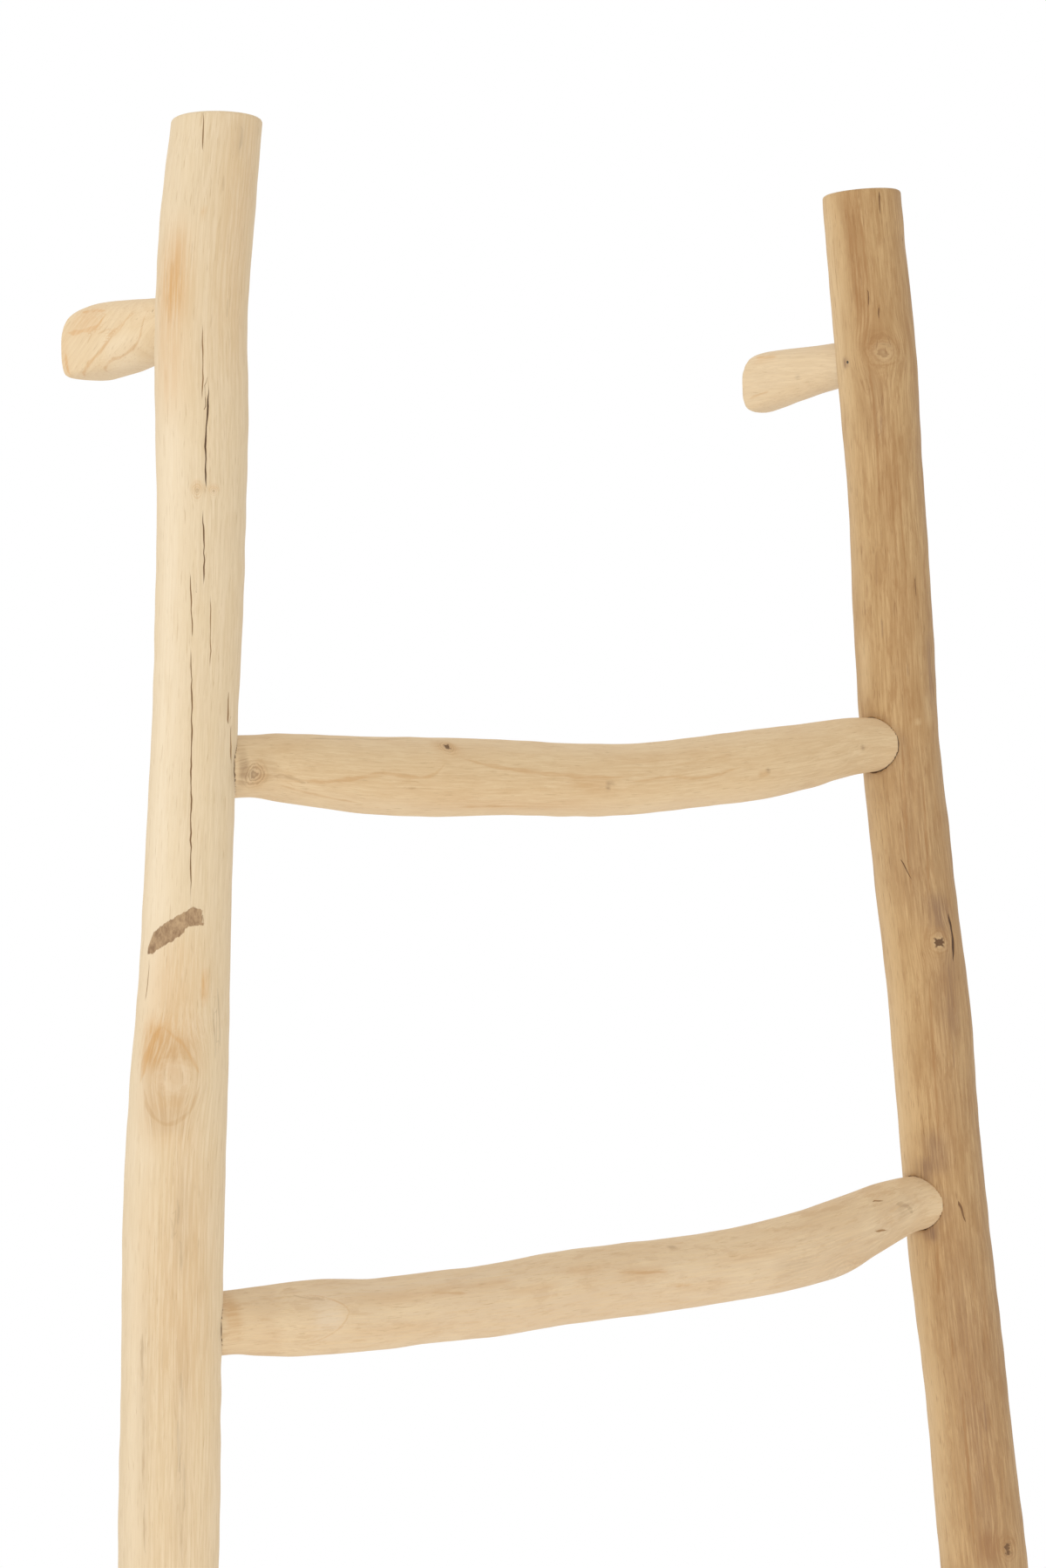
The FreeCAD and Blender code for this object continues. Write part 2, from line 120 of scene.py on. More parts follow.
def branchGrid(piece):
    # rows along the piece and columns round it, with each row's centre, thickness and end rounding
    line = np.array(piece["line"], float)
    low, high = line[0, 0], line[-1, 0]
    ease, crown = piece["ease"], piece.get("crown", 0)
    spots = [knot[0] for knot in piece["knots"]] + [mouth["along"] for mouth in piece.get("mouths", [])]
    spots.append(-1e6)  # never near, for a piece without marks
    inner = gather(low + ease, high - ease, piece["rowStep"], piece["fineStep"], spots, growth["markReach"])
    past, inset, share = endRows(ease, crown)
    along = np.concatenate([(low + ease - past)[::-1], inner, high - ease + past])
    inset = np.concatenate([inset[::-1], np.zeros(len(inner)), inset])
    share = np.concatenate([share[::-1], np.ones(len(inner)), share])
    around = np.linspace(-np.pi, np.pi, piece["columns"], endpoint=False)
    side = np.clip(along, low, high)
    centre = np.zeros((len(along), 3))
    axis = "xyz".index(piece["axis"])
    centre[:, axis] = along
    for column, other in enumerate(crossAxes[piece["axis"]]):
        centre[:, other] = smoothLine(line[:, 0], line[:, 1 + column], side)
    first = np.array(firstWay[piece["axis"]], float)
    second = np.cross(np.eye(3)[axis], first)
    thick = smoothLine(line[:, 0], line[:, 3], side)
    return dict(along=along, around=around, centre=centre, first=first, second=second, thick=thick,
                inset=inset, share=share, flat=(share < 1) | (inset >= ease * 0.99))  # flat: the end faces


def markDistances(grid, station, angle):
    # distance round the branch and along it from one place, in millimetres
    across = wrapped(grid["around"] - np.radians(angle)) * grid["thick"][:, None] / 2
    return across, (grid["along"] - station)[:, None] + 0 * across


def lineField(grid, lines, seed):
    # signed distance from the nearest listed line, its half width there and its tone, and the groove
    # it leaves: depth * taper * exp(-(distance / grooveHalf)^2)
    shape = (len(grid["along"]), len(grid["around"]))
    distance = np.full(shape, lineHabit["far"])
    width, tone, groove = np.zeros(shape), np.zeros(shape), np.zeros(shape)
    rng = np.random.default_rng(seed)
    for points, halfWidth, depth, shade in lines:
        path = np.array(points, float)
        radius = np.interp(path[:, 0], grid["along"], grid["thick"]) / 2
        middle = path[:, 1].mean()
        corners = np.stack([np.radians(path[:, 1] - middle) * radius, path[:, 0]], axis=1)
        reach = np.concatenate([[0], np.cumsum(np.linalg.norm(np.diff(corners, axis=0), axis=1))])
        steps = np.linspace(0, reach[-1], int(reach[-1] / lineHabit["step"]) + 3)
        line = np.stack([smoothLine(reach, corners[:, column], steps) for column in (0, 1)], axis=1)
        line[:, 0] += rng.normal(0, lineHabit["wander"], len(steps))
        low, high = line[:, 1].min() - lineHabit["margin"], line[:, 1].max() + lineHabit["margin"]
        rows = (grid["along"] > low) & (grid["along"] < high)
        across = wrapped(grid["around"] - np.radians(middle)) * grid["thick"][rows, None] / 2
        spot = np.stack([across, grid["along"][rows, None] + 0 * across], axis=-1)[..., None, :]
        edge = line[1:] - line[:-1]
        t = np.clip(((spot - line[:-1]) * edge).sum(-1) / (edge**2).sum(-1), 0, 1)
        away = spot - line[:-1] - t[..., None] * edge
        near = np.linalg.norm(away, axis=-1)
        nearest = near.argmin(axis=-1)[..., None]
        side = np.sign(edge[:, 1] * away[..., 0] - edge[:, 0] * away[..., 1])
        gap = np.take_along_axis(near * np.where(side == 0, 1, side), nearest, -1)[..., 0]
        share = np.take_along_axis((np.arange(len(edge)) + t) / len(edge), nearest, -1)[..., 0]
        taper = np.clip(np.minimum(share, 1 - share) / lineHabit["taper"], 0, 1)
        ripple = 1 + lineHabit["ripple"] * np.sin(share * reach[-1] * lineHabit["ripplePace"] + seed)
        # no width is left where another line takes over
        fade = np.clip((lineHabit["fadeFrom"] - np.abs(gap)) / lineHabit["fadeOver"], 0, 1)
        closer = np.abs(gap) < np.minimum(np.abs(distance[rows]), lineHabit["reach"])
        distance[rows] = np.where(closer, gap, distance[rows])
        width[rows] = np.where(closer, halfWidth * taper * ripple * fade, width[rows])
        tone[rows] = np.where(closer, shade, tone[rows])
        groove[rows] += depth * taper * np.exp(-(gap / lineHabit["grooveHalf"])**2)
    return np.stack([distance, width, tone], axis=-1), groove


def knotFields(piece, grid):
    # nearest knot's own coordinates and tones, the swelling it raises and the way it pushes the grain aside
    shape = (len(grid["along"]), len(grid["around"]))
    field, tones = np.zeros(shape + (3,)), np.zeros(shape + (3,))
    swell, push, nearest = np.zeros(shape), np.zeros(shape), np.full(shape, 1e9)
    for station, angle, size, stretch, rise, heart, rings, pale in piece["knots"]:
        across, down = markDistances(grid, station, angle)
        local = np.stack([across / size, down / size / stretch], axis=-1)
        distance = np.linalg.norm(local, axis=-1)
        swell += rise * np.exp(-(distance / knotHabit["swellReach"])**2)
        swell -= knotHabit["heartDepth"] * heart * np.exp(-(distance / knotHabit["heartReach"])**2)
        push -= knotHabit["push"] * across * np.exp(-(distance / knotHabit["pushReach"])**2)
        closer = distance < nearest
        nearest = np.where(closer, distance, nearest)
        fade = np.clip(knotHabit["fadeFrom"] - distance, 0, 1)[..., None]
        field = np.where(closer[..., None], np.concatenate([local, fade], axis=-1), field)
        tones = np.where(closer[..., None], np.array([heart, rings, pale]) * fade, tones)
    return field, tones, swell, push


# one attribute holds the stains and, on some pieces, patches of painted light and shade
stainAndLightKinds = {"tan": 0, "grey": 1, "pale": 2}  # which part of the stain attribute holds each kind


def stainAndLightFields(piece, grid):
    # soft long patches, stains and on some pieces painted light and shade: exp(-(down / length)^4 - (across /
    # width)^2) for each kind
    field = np.zeros((len(grid["along"]), len(grid["around"]), 3))
    for kind, patches in piece["stainsAndLight"].items():
        for station, angle, length, width, depth in patches:
            across, down = markDistances(grid, station, angle)
            field[..., stainAndLightKinds[kind]] += depth * np.exp(-(down / length)**4 - (across / width)**2)
    return np.clip(field, 0, 1)


def patchDistance(piece, grid):
    # signed distance to the edge of the bark patch, below zero inside it
    if "bark" not in piece:
        return np.full((len(grid["along"]), len(grid["around"])), farOff)
    corners = np.array(piece["bark"], float)
    middle = corners.mean(axis=0)
    radius = piece["barkRadius"]
    outline = np.stack([np.radians(corners[:, 1] - middle[1]) * radius, corners[:, 0] - middle[0]], axis=1)
    across, down = markDistances(grid, middle[0], middle[1])
    spot = np.stack([across, down], axis=-1)[..., None, :]
    start, end = outline, np.roll(outline, -1, axis=0)
    edge = end - start
    t = np.clip(((spot - start) * edge).sum(-1) / (edge**2).sum(-1), 0, 1)
    reach = np.linalg.norm(spot - start - t[..., None] * edge, axis=-1).min(axis=-1)
    above = (start[:, 1] > down[..., None]) != (end[:, 1] > down[..., None])
    rise = np.where(edge[:, 1] == 0, 1e-9, edge[:, 1])
    crossing = start[:, 0] + (down[..., None] - start[:, 1]) / rise * edge[:, 0]
    inside = (above & (across[..., None] < crossing)).sum(-1) % 2 == 1
    return np.clip(np.where(inside, -reach, reach), -farOff, farOff)


def openMouths(piece, grid, points):
    # round seat for each tenon: grid points near the rim slide on to it and those inside it sink in
    joint = np.full(points.shape[:2], farOff)
    for mouth in piece.get("mouths", []):
        way = mouth["way"]
        flatAxes = [axis for axis in range(3) if axis != way]
        offset = points[..., flatAxes] - np.array(mouth["middle"])
        reach = np.linalg.norm(offset, axis=-1)
        facing = mouth["side"] * (points[..., way] - grid["centre"][:, None, way]) > 0
        rim = facing & (np.abs(reach - mouth["radius"]) < mouth["snap"])
        sunk = facing & (reach <= mouth["radius"] - mouth["snap"])
        scale = np.where(rim, mouth["radius"] / np.maximum(reach, 1e-6), 1.0)
        points[..., flatAxes] = np.array(mouth["middle"]) + offset * scale[..., None]
        points[..., way] -= np.where(sunk, mouth["side"] * mouth["depth"], 0)
        away = reach - mouth["radius"]
        # a thinner seam on top
        away = away + mouth["tight"] * np.clip(offset[..., 1] / mouth["radius"], 0, 1)
        joint = np.where(facing & (away < joint), away, joint)
    return np.clip(joint, -3, farOff)


def skin(name, points, low, high, fields):
    # closed mesh: wrapped columns and a point in the middle of each end
    rows, columns = points.shape[:2]
    index = np.arange(rows * columns).reshape(rows, columns)
    onward = np.roll(index, -1, axis=1)
    sides = np.stack([index[:-1], onward[:-1], onward[1:], index[1:]], axis=-1).reshape(-1, 4)
    bottom = np.stack([onward[0], index[0], np.full(columns, rows * columns)], axis=-1)
    top = np.stack([index[-1], onward[-1], np.full(columns, rows * columns + 1)], axis=-1)
    mesh = bpy.data.meshes.new(name)
    allPoints = np.concatenate([points.reshape(-1, 3), [low, high]]) * mm
    mesh.from_pydata(allPoints, [], sides.tolist() + bottom.tolist() + top.tolist())
    mesh.shade_smooth()
    for label, values in fields.items():
        flat = values.reshape(rows * columns, -1)
        flat = np.concatenate([flat, flat[:columns].mean(axis=0)[None], flat[-columns:].mean(axis=0)[None]])
        kind = "FLOAT_VECTOR" if flat.shape[1] == 3 else "FLOAT"
        layer = mesh.attributes.new(label, kind, "POINT")
        entry = "vector" if kind == "FLOAT_VECTOR" else "value"
        layer.data.foreach_set(entry, flat.ravel().astype(np.float32))
    return newObject(name, mesh)


def cheekLimit(piece, grid, turn, radius):
    # flat cheeks and underside: the soft least of the radius, cheek / |sin(angle)| and under / -cos(angle),
    # with the radius grown below so that the lower corners stand out
    if "cheeks" not in piece:
        return radius
    cheeks = np.array(piece["cheeks"], float)
    half, under, corner = (np.interp(grid["along"], cheeks[:, 0], cheeks[:, k])[:, None] for k in (1, 2, 3))
    grown = radius + corner * (1 - np.cos(turn)) / 2
    cheek = half / np.maximum(np.abs(np.sin(turn)), growth["leastSide"])
    flat = np.minimum(cheek, under / np.maximum(-np.cos(turn), growth["leastSide"]))
    return (grown**-growth["cornerSharp"] + flat**-growth["cornerSharp"])**(-1 / growth["cornerSharp"])


def slantEnd(piece, grid, points):
    # the free end leans back towards its top, and its upper corner is worn rounder than the lower one
    if "slant" not in piece:
        return
    lean, wear, start, end = piece["slant"]
    weight = np.clip((points[..., 1] - start) / (end - start), 0, 1)**2
    rise = points[..., 2] - grid["centre"][:, None, 2]
    points[..., 1] -= weight * (lean * rise + wear * np.maximum(rise, 0)**2)


def makeBranch(name, piece):
    # radius = thickness / 2, held in by the cheeks, + waves + swellings - grooves + bark
    grid = branchGrid(piece)
    full = grid["along"][:, None] + 0 * grid["around"]
    turn = grid["around"] + 0 * full
    seed, waviness = piece["seed"], piece["waviness"]
    checks, groove = lineField(grid, piece["checks"], seed)
    veins, _ = lineField(grid, [(points, half, 0, tone) for points, half, tone in piece["veins"]], seed + 1)
    knots, knotTones, swell, push = knotFields(piece, grid)
    bark = patchDistance(piece, grid)
    waves = uneven(full, turn, seed, waviness, growth["longWave"])
    waves += uneven(full, turn, seed + 50, waviness * growth["shortShare"], growth["shortWave"])
    quiet = piece["quiet"](grid["along"])[:, None]  # smooth where the branch is a turned tenon
    radius = np.maximum(grid["thick"][:, None] / 2 - grid["inset"][:, None], 0.5) + 0 * turn
    radius = cheekLimit(piece, grid, turn, radius) + (waves + swell - groove) * quiet
    within = np.clip((growth["barkEdge"] / 2 - bark) / growth["barkEdge"], 0, 1)
    radius = radius + growth["barkRise"] * within
    radius = radius * grid["share"][:, None]
    way = np.cos(turn)[..., None] * grid["first"] + np.sin(turn)[..., None] * grid["second"]
    points = grid["centre"][:, None] + radius[..., None] * way
    slantEnd(piece, grid, points)
    if "topLean" in piece:  # the sawn top is a little off level
        rise = np.clip((full - piece["line"][-1][0]) / growth["topReach"] + 1, 0, 1)
        points[..., 2] += piece["topLean"] * rise * (points[..., 0] - grid["centre"][:, None, 0])
    joint = openMouths(piece, grid, points)
    bend = turn + push / np.maximum(grid["thick"][:, None] / 2, 1)
    lean = np.radians(piece.get("grainLean", 0))  # grain that runs at an angle to the branch
    across, deep = radius * np.cos(bend), radius * np.sin(bend)
    onward = full * np.cos(lean) + across * np.sin(lean)
    grain = np.stack([across * np.cos(lean) - full * np.sin(lean), deep,
                      onward + seed * growth["grainShift"]], axis=-1) * mm
    # figure is how strongly rings and mottling show, cut marks the sawn ends
    fields = {"grain": grain, "check": checks, "vein": veins, "knot": knots, "knotTone": knotTones,
              "stainAndLight": stainAndLightFields(piece, grid), "bark": bark, "joint": joint,
              "figure": np.full(full.shape, piece.get("figure", 1.0)),
              "cut": np.repeat(grid["flat"].astype(float)[:, None], len(grid["around"]), axis=1)}
    made = skin(name, points, points[0].mean(axis=0), points[-1].mean(axis=0), fields)
    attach(made, "root")
    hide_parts(piece["node"])
    print("branch:", name, len(made.data.polygons), "faces")
    return made


# Shader helpers

def paint(red, green, blue):
    # screen colour, 0 to 255, as Blender's linear colour
    colour = np.array([red, green, blue]) / 255
    linear = np.where(colour <= 0.04045, colour / 12.92, ((colour + 0.055) / 1.055)**2.4)
    return (*linear.tolist(), 1.0)


def put(tree, kind, inputs=None, **settings):
    # a new node with its settings, and each input either linked or set
    made = tree.nodes.new("ShaderNode" + kind)
    for label, value in settings.items():
        setattr(made, label, value)
    for label, value in (inputs or {}).items():
        if isinstance(value, bpy.types.NodeSocket):
            tree.links.new(value, made.inputs[label])
        else:
            made.inputs[label].default_value = value
    return made


def sums(tree, operation, first, second=0.0):
    # one step of arithmetic
    return put(tree, "Math", {0: first, 1: second}, operation=operation).outputs[0]


def between(tree, value, low, high, toLow=0.0, toHigh=1.0):
    # smooth step from low to high
    inputs = {"Value": value, "From Min": low, "From Max": high, "To Min": toLow, "To Max": toHigh}
    return put(tree, "MapRange", inputs, interpolation_type="SMOOTHSTEP").outputs[0]


def tint(tree, share, under, over):
    # under * (1 - share) + over * share
    return put(tree, "Mix", {0: share, 6: under, 7: over}, data_type="RGBA").outputs[2]


def stretched(tree, vector, across, along):
    # place times one scale across the grain and another along it
    return put(tree, "VectorMath", {0: vector, 1: (across, across, along)}, operation="MULTIPLY").outputs[0]


def noise(tree, place, across, along, detail, rough):
    # cloudy pattern from 0 to 1, with one scale across the grain and another along it
    spread = stretched(tree, place, across, along)
    inputs = {"Vector": spread, "Scale": 1.0, "Detail": detail, "Roughness": rough}
    return put(tree, "TexNoise", inputs).outputs[0]


def fraying(tree, place, across, along, rough):
    # the same pattern about zero, from -0.5 to 0.5, with a middling detail of 3
    return sums(tree, "SUBTRACT", noise(tree, place, across, along, 3, rough), 0.5)


def newGroup(name, inputs, outputs):
    # an empty node group; all its outputs are plain values
    tree = bpy.data.node_groups.new(name, "ShaderNodeTree")
    for label, kind in inputs.items():
        tree.interface.new_socket(label, in_out="INPUT", socket_type="NodeSocket" + kind)
    for label in outputs:
        tree.interface.new_socket(label, in_out="OUTPUT", socket_type="NodeSocketFloat")
    return tree, tree.nodes.new("NodeGroupInput"), tree.nodes.new("NodeGroupOutput")


def useGroup(tree, group, inputs):
    # the group's outputs in one material, with that material's own inputs
    return put(tree, "Group", inputs, node_tree=group).outputs


def ringLine(tree, level, look):
    # a year's growth: fract(level), rising slowly and ending at a sharp edge
    saw = sums(tree, "FRACT", level)
    rise, edge = (between(tree, saw, *look[part]) for part in ("ringRise", "ringEdge"))
    return sums(tree, "MULTIPLY", rise, edge)


# pairs are the levels that count as 0 and as 1; patterns have a scale across the grain, one along it, detail
# and roughness
grainLook = dict(
    marks=dict(Streak=(720, 26, 4, 0.65), Pores=(1400, 80, 2, 0.5), Cloud=(95, 20, 5, 0.65),
               Mottle=(210, 40, 4, 0.7)),
    levels=dict(Streak=(0.3, 0.7), Pores=(0.6, 0.75), Cloud=(0.35, 0.68), Mottle=(0.5, 0.64)),
    fibre=(2600, 60, 2, 0.6), wander=(40, 6, 3, 0.5), ringRise=(0.1, 0.85), ringEdge=(1.0, 0.82))


def grainGroup(look):
    # streaks, short pores, soft clouds, firmer mottling, fibres and the lines where growth rings come to
    # the surface, at level = (depth + lift) / step
    inputs = {"Grain": "Vector", "Ring Step": "Float", "Ring Wander": "Float"}
    outputs = ["Streak", "Pores", "Fibre", "Cloud", "Mottle", "Rings"]
    tree, get, give = newGroup("branchGrain", inputs, outputs)
    grain = get.outputs["Grain"]
    for label, pattern in look["marks"].items():
        mark = between(tree, noise(tree, grain, *pattern), *look["levels"][label])
        tree.links.new(mark, give.inputs[label])
    tree.links.new(noise(tree, grain, *look["fibre"]), give.inputs["Fibre"])
    flat = put(tree, "VectorMath", {0: grain, 1: (1, 1, 0)}, operation="MULTIPLY").outputs[0]
    depth = put(tree, "VectorMath", {0: flat}, operation="LENGTH").outputs["Value"]
    lift = sums(tree, "MULTIPLY", noise(tree, grain, *look["wander"]), get.outputs["Ring Wander"])
    level = sums(tree, "DIVIDE", sums(tree, "ADD", depth, lift), get.outputs["Ring Step"])
    tree.links.new(ringLine(tree, level, look), give.inputs["Rings"])
    return tree


# reaches are in knot sizes, from where a mark starts to where it is full
knotLook = dict(
    wobble=(300, 300, 0.6), ringPace=2.2, ringRise=(0.2, 0.75), ringEdge=(1.0, 0.8), ringReach=(2.1, 0.9),
    crackWobble=0.35, crackHalf=(0.26, 0.1), crackReach=(0.85, 0.55), crackedHeart=(0.9, 0.98),
    heartWobble=1.1, heartReach=(0.6, 0.3), archRise=(-0.7, 0.9), archReach=(2.6, 0.9), discReach=(1.15, 0.6))


def knotGroup(look):
    # rings round a knot, the warm arch above it, its pale disc and its dark heart with crossing cracks
    tree, get, give = newGroup("knotRings", {"Knot": "Vector", "Tone": "Vector", "Grain": "Vector"},
                               ["Rings", "Heart", "Halo", "Disc"])
    place = put(tree, "SeparateXYZ", {0: get.outputs["Knot"]}).outputs
    tone = put(tree, "SeparateXYZ", {0: get.outputs["Tone"]}).outputs
    wobble = fraying(tree, get.outputs["Grain"], *look["wobble"])
    flat = put(tree, "CombineXYZ", {0: place[0], 1: place[1], 2: 0.0}).outputs[0]
    reach = put(tree, "VectorMath", {0: flat}, operation="LENGTH").outputs["Value"]
    reach = sums(tree, "ADD", reach, wobble)
    line = ringLine(tree, sums(tree, "MULTIPLY", reach, look["ringPace"]), look)
    rings = sums(tree, "MULTIPLY", line, between(tree, reach, *look["ringReach"]))
    tree.links.new(sums(tree, "MULTIPLY", rings, tone[1]), give.inputs["Rings"])
    slash = sums(tree, "ABSOLUTE", sums(tree, "ADD", place[0], place[1]))
    counter = sums(tree, "ABSOLUTE", sums(tree, "SUBTRACT", place[0], place[1]))
    bent = sums(tree, "MULTIPLY", wobble, look["crackWobble"])
    star = between(tree, sums(tree, "ADD", sums(tree, "MINIMUM", slash, counter), bent), *look["crackHalf"])
    arms = sums(tree, "MULTIPLY", star, between(tree, reach, *look["crackReach"]))
    arms = sums(tree, "MULTIPLY", arms, between(tree, tone[0], *look["crackedHeart"]))
    core = sums(tree, "ADD", reach, sums(tree, "MULTIPLY", wobble, look["heartWobble"]))
    heart = sums(tree, "MAXIMUM", arms, between(tree, core, *look["heartReach"]))
    tree.links.new(sums(tree, "MULTIPLY", heart, tone[0]), give.inputs["Heart"])
    upper = between(tree, place[1], *look["archRise"])
    halo = sums(tree, "MULTIPLY", between(tree, reach, *look["archReach"]), upper)
    tree.links.new(sums(tree, "MULTIPLY", halo, tone[1]), give.inputs["Halo"])
    disc = between(tree, reach, *look["discReach"])
    tree.links.new(sums(tree, "MULTIPLY", disc, tone[2]), give.inputs["Disc"])
    return tree


# fray's pattern, half widths at which a line is lost and is whole, then the border: times wider, its softness
lineLook = dict(fray=(520, 130, 0.6), leastHalf=(0.03, 0.15), borderTimes=3.2, borderSoft=1.5)


def lineGroup(look):
    # a line where the distance from it is less than its half width, roughened by the grain
    inputs = {"Line": "Vector", "Grain": "Vector", "Fray": "Float", "Soft": "Float"}
    tree, get, give = newGroup("grainLine", inputs, ["Line", "Shade", "Tone"])
    parts = put(tree, "SeparateXYZ", {0: get.outputs["Line"]}).outputs
    frayed = sums(tree, "MULTIPLY", fraying(tree, get.outputs["Grain"], *look["fray"]), get.outputs["Fray"])
    gap = sums(tree, "ABSOLUTE", sums(tree, "ADD", parts[0], frayed))
    inner = sums(tree, "SUBTRACT", parts[1], gap)
    low = sums(tree, "MULTIPLY", get.outputs["Soft"], -1.0)
    core = between(tree, inner, low, get.outputs["Soft"])
    core = sums(tree, "MULTIPLY", core, between(tree, parts[1], *look["leastHalf"]))
    tree.links.new(core, give.inputs["Line"])
    wide = sums(tree, "SUBTRACT", sums(tree, "MULTIPLY", parts[1], look["borderTimes"]), gap)
    tree.links.new(between(tree, wide, 0.0, look["borderSoft"]), give.inputs["Shade"])
    tree.links.new(parts[2], give.inputs["Tone"])
    return tree


branchGrain = grainGroup(grainLook)
knotRings = knotGroup(knotLook)
grainLine = lineGroup(lineLook)
print("node groups made")


# what all the finishes have in common: shares of each colour, frays and reaches in millimetres, roughness
# and the depths of the fine relief
peeled = dict(
    fibreShare=1.2, streakSpread=0.2, patchy=(0.0, 0.8, 0.5, 1.0), cutRings=0.3, cutTan=0.3,
    halo=0.3, disc=0.8, knotRings=0.45, heart=0.9, checkBorder=0.22,
    checkFray=0.3, checkSoft=0.12, veinFray=1.0, veinSoft=0.6,
    barkFray=3.2, barkPattern=(450, 180, 0.65), barkEdge=(0.3, -0.2), barkFlecks=(420, 200, 4, 0.7),
    barkLevels=(0.3, 0.7), seatFray=1.5, seatPattern=(150, 150, 0.6), seatReach=(6.0, 0.2), seatShade=0.25,
    seamReach=(0.45, 0.05), fibreRough=0.16, barkRough=0.2, specular=0.3,
    fibreRise=0.12, poreDepth=0.1, checkDepth=0.6, ringDepth=0.08, heartDepth=0.3, barkRise=0.5, relief=0.5)


def peeledWood(name, finish):
    # pale wood, tinted in turn by streaks, clouds, rings, stains and painted light and shade, veins, knots,
    # checks, bark, then painted shade and the seam at seats
    material = bpy.data.materials.new(name)
    material.use_nodes = True
    tree = material.node_tree
    shader = tree.nodes["Principled BSDF"]

    def layer(label):
        return put(tree, "Attribute", attribute_name=label).outputs

    def times(value, share):
        return sums(tree, "MULTIPLY", value, share)

    grain = layer("grain")["Vector"]
    short = stretched(tree, grain, 1, finish["fleck"])  # how much shorter the flecks are than on the rails
    wood = useGroup(tree, branchGrain, {"Grain": short, "Ring Step": finish["ringStep"] * mm,
                                        "Ring Wander": finish["ringWander"] * mm})
    knot = useGroup(tree, knotRings, {"Knot": layer("knot")["Vector"], "Tone": layer("knotTone")["Vector"],
                                      "Grain": grain})
    check, vein = (
        useGroup(tree, grainLine, {"Line": layer(kind)["Vector"], "Grain": grain,
                                   "Fray": peeled[kind + "Fray"], "Soft": peeled[kind + "Soft"]})
        for kind in ("check", "vein"))
    stainAndLight = put(tree, "SeparateXYZ", {0: layer("stainAndLight")["Vector"]}).outputs
    cut = layer("cut")["Fac"]

    # plain wood: streaks, clouds, mottling and rings, then stains (some of them painted light and shade) and
    # veins with the streaks showing through
    fine = times(sums(tree, "SUBTRACT", wood["Fibre"], 0.5), peeled["fibreShare"])
    streak = sums(tree, "ADD", times(wood["Streak"], finish["streakShare"]), fine)
    streak = between(tree, streak, -peeled["streakSpread"], finish["streakShare"] + peeled["streakSpread"])
    colour = tint(tree, streak, finish["pale"], finish["tan"])
    colour = tint(tree, times(wood["Cloud"], finish["cloudShare"]), colour, finish["warm"])
    figure = layer("figure")["Fac"]
    colour = tint(tree, times(times(wood["Mottle"], figure), finish["mottleShare"]), colour, finish["mottle"])
    ringShare = sums(tree, "ADD", times(figure, finish["ringShare"]), times(cut, peeled["cutRings"]))
    colour = tint(tree, times(wood["Rings"], ringShare), colour, finish["ring"])
    patchy = between(tree, wood["Streak"], *peeled["patchy"])
    for kind, shade in (("pale", "sapwoodAndLight"), ("tan", "orange"), ("grey", "grey")):
        colour = tint(tree, times(stainAndLight[stainAndLightKinds[kind]], patchy), colour, finish[shade])
    veinColour = tint(tree, vein["Tone"], finish["orange"], finish["grey"])
    colour = tint(tree, times(vein["Line"], times(patchy, finish["veinShare"])), colour, veinColour)

    # knots, then the pores over them
    colour = tint(tree, times(knot["Halo"], peeled["halo"]), colour, finish["orange"])
    colour = tint(tree, times(knot["Disc"], peeled["disc"]), colour, finish["sapwoodAndLight"])
    colour = tint(tree, times(knot["Rings"], peeled["knotRings"]), colour, finish["knotRing"])
    colour = tint(tree, times(knot["Heart"], peeled["heart"]), colour, finish["knotHeart"])
    colour = tint(tree, times(wood["Pores"], finish["poreShare"]), colour, finish["pore"])

    # drying checks: a warm border and a dark line
    colour = tint(tree, times(check["Shade"], peeled["checkBorder"]), colour, finish["orange"])
    crack = tint(tree, check["Tone"], finish["crackPale"], finish["crack"])
    colour = tint(tree, check["Line"], colour, crack)

    # the patch of bark that was left on
    ragged = times(fraying(tree, grain, *peeled["barkPattern"]), peeled["barkFray"])
    bark = between(tree, sums(tree, "ADD", layer("bark")["Fac"], ragged), *peeled["barkEdge"])
    barkTone = noise(tree, grain, *peeled["barkFlecks"])
    barkPale = between(tree, barkTone, *peeled["barkLevels"])
    barkColour = tint(tree, barkPale, finish["barkDark"], finish["bark"])
    colour = tint(tree, bark, colour, barkColour)

    # painted shade darkening the wood towards a tenon's seat, then the seam's dark line
    fray = times(fraying(tree, grain, *peeled["seatPattern"]), peeled["seatFray"])
    rim = sums(tree, "ADD", layer("joint")["Fac"], fray)
    shaded = between(tree, rim, *peeled["seatReach"], 0.0, peeled["seatShade"])
    colour = tint(tree, shaded, colour, finish["grey"])
    colour = tint(tree, between(tree, rim, *peeled["seamReach"]), colour, finish["seam"])
    colour = tint(tree, times(cut, peeled["cutTan"]), colour, finish["tan"])
    tree.links.new(colour, shader.inputs["Base Color"])

    rough = sums(tree, "ADD", finish["rough"], times(wood["Fibre"], peeled["fibreRough"]))
    rough = sums(tree, "ADD", rough, times(bark, peeled["barkRough"]))
    tree.links.new(rough, shader.inputs["Roughness"])
    shader.inputs["Specular IOR Level"].default_value = peeled["specular"]

    height = times(wood["Fibre"], peeled["fibreRise"])
    for part, depth in ((wood["Pores"], "poreDepth"), (check["Line"], "checkDepth"),
                        (knot["Rings"], "ringDepth"), (knot["Heart"], "heartDepth")):
        height = sums(tree, "SUBTRACT", height, times(part, peeled[depth]))
    height = sums(tree, "ADD", height, times(times(bark, barkTone), peeled["barkRise"]))
    bump = put(tree, "Bump", {"Strength": peeled["relief"], "Distance": mm, "Height": height})
    tree.links.new(bump.outputs["Normal"], shader.inputs["Normal"])
    return material


# Rails

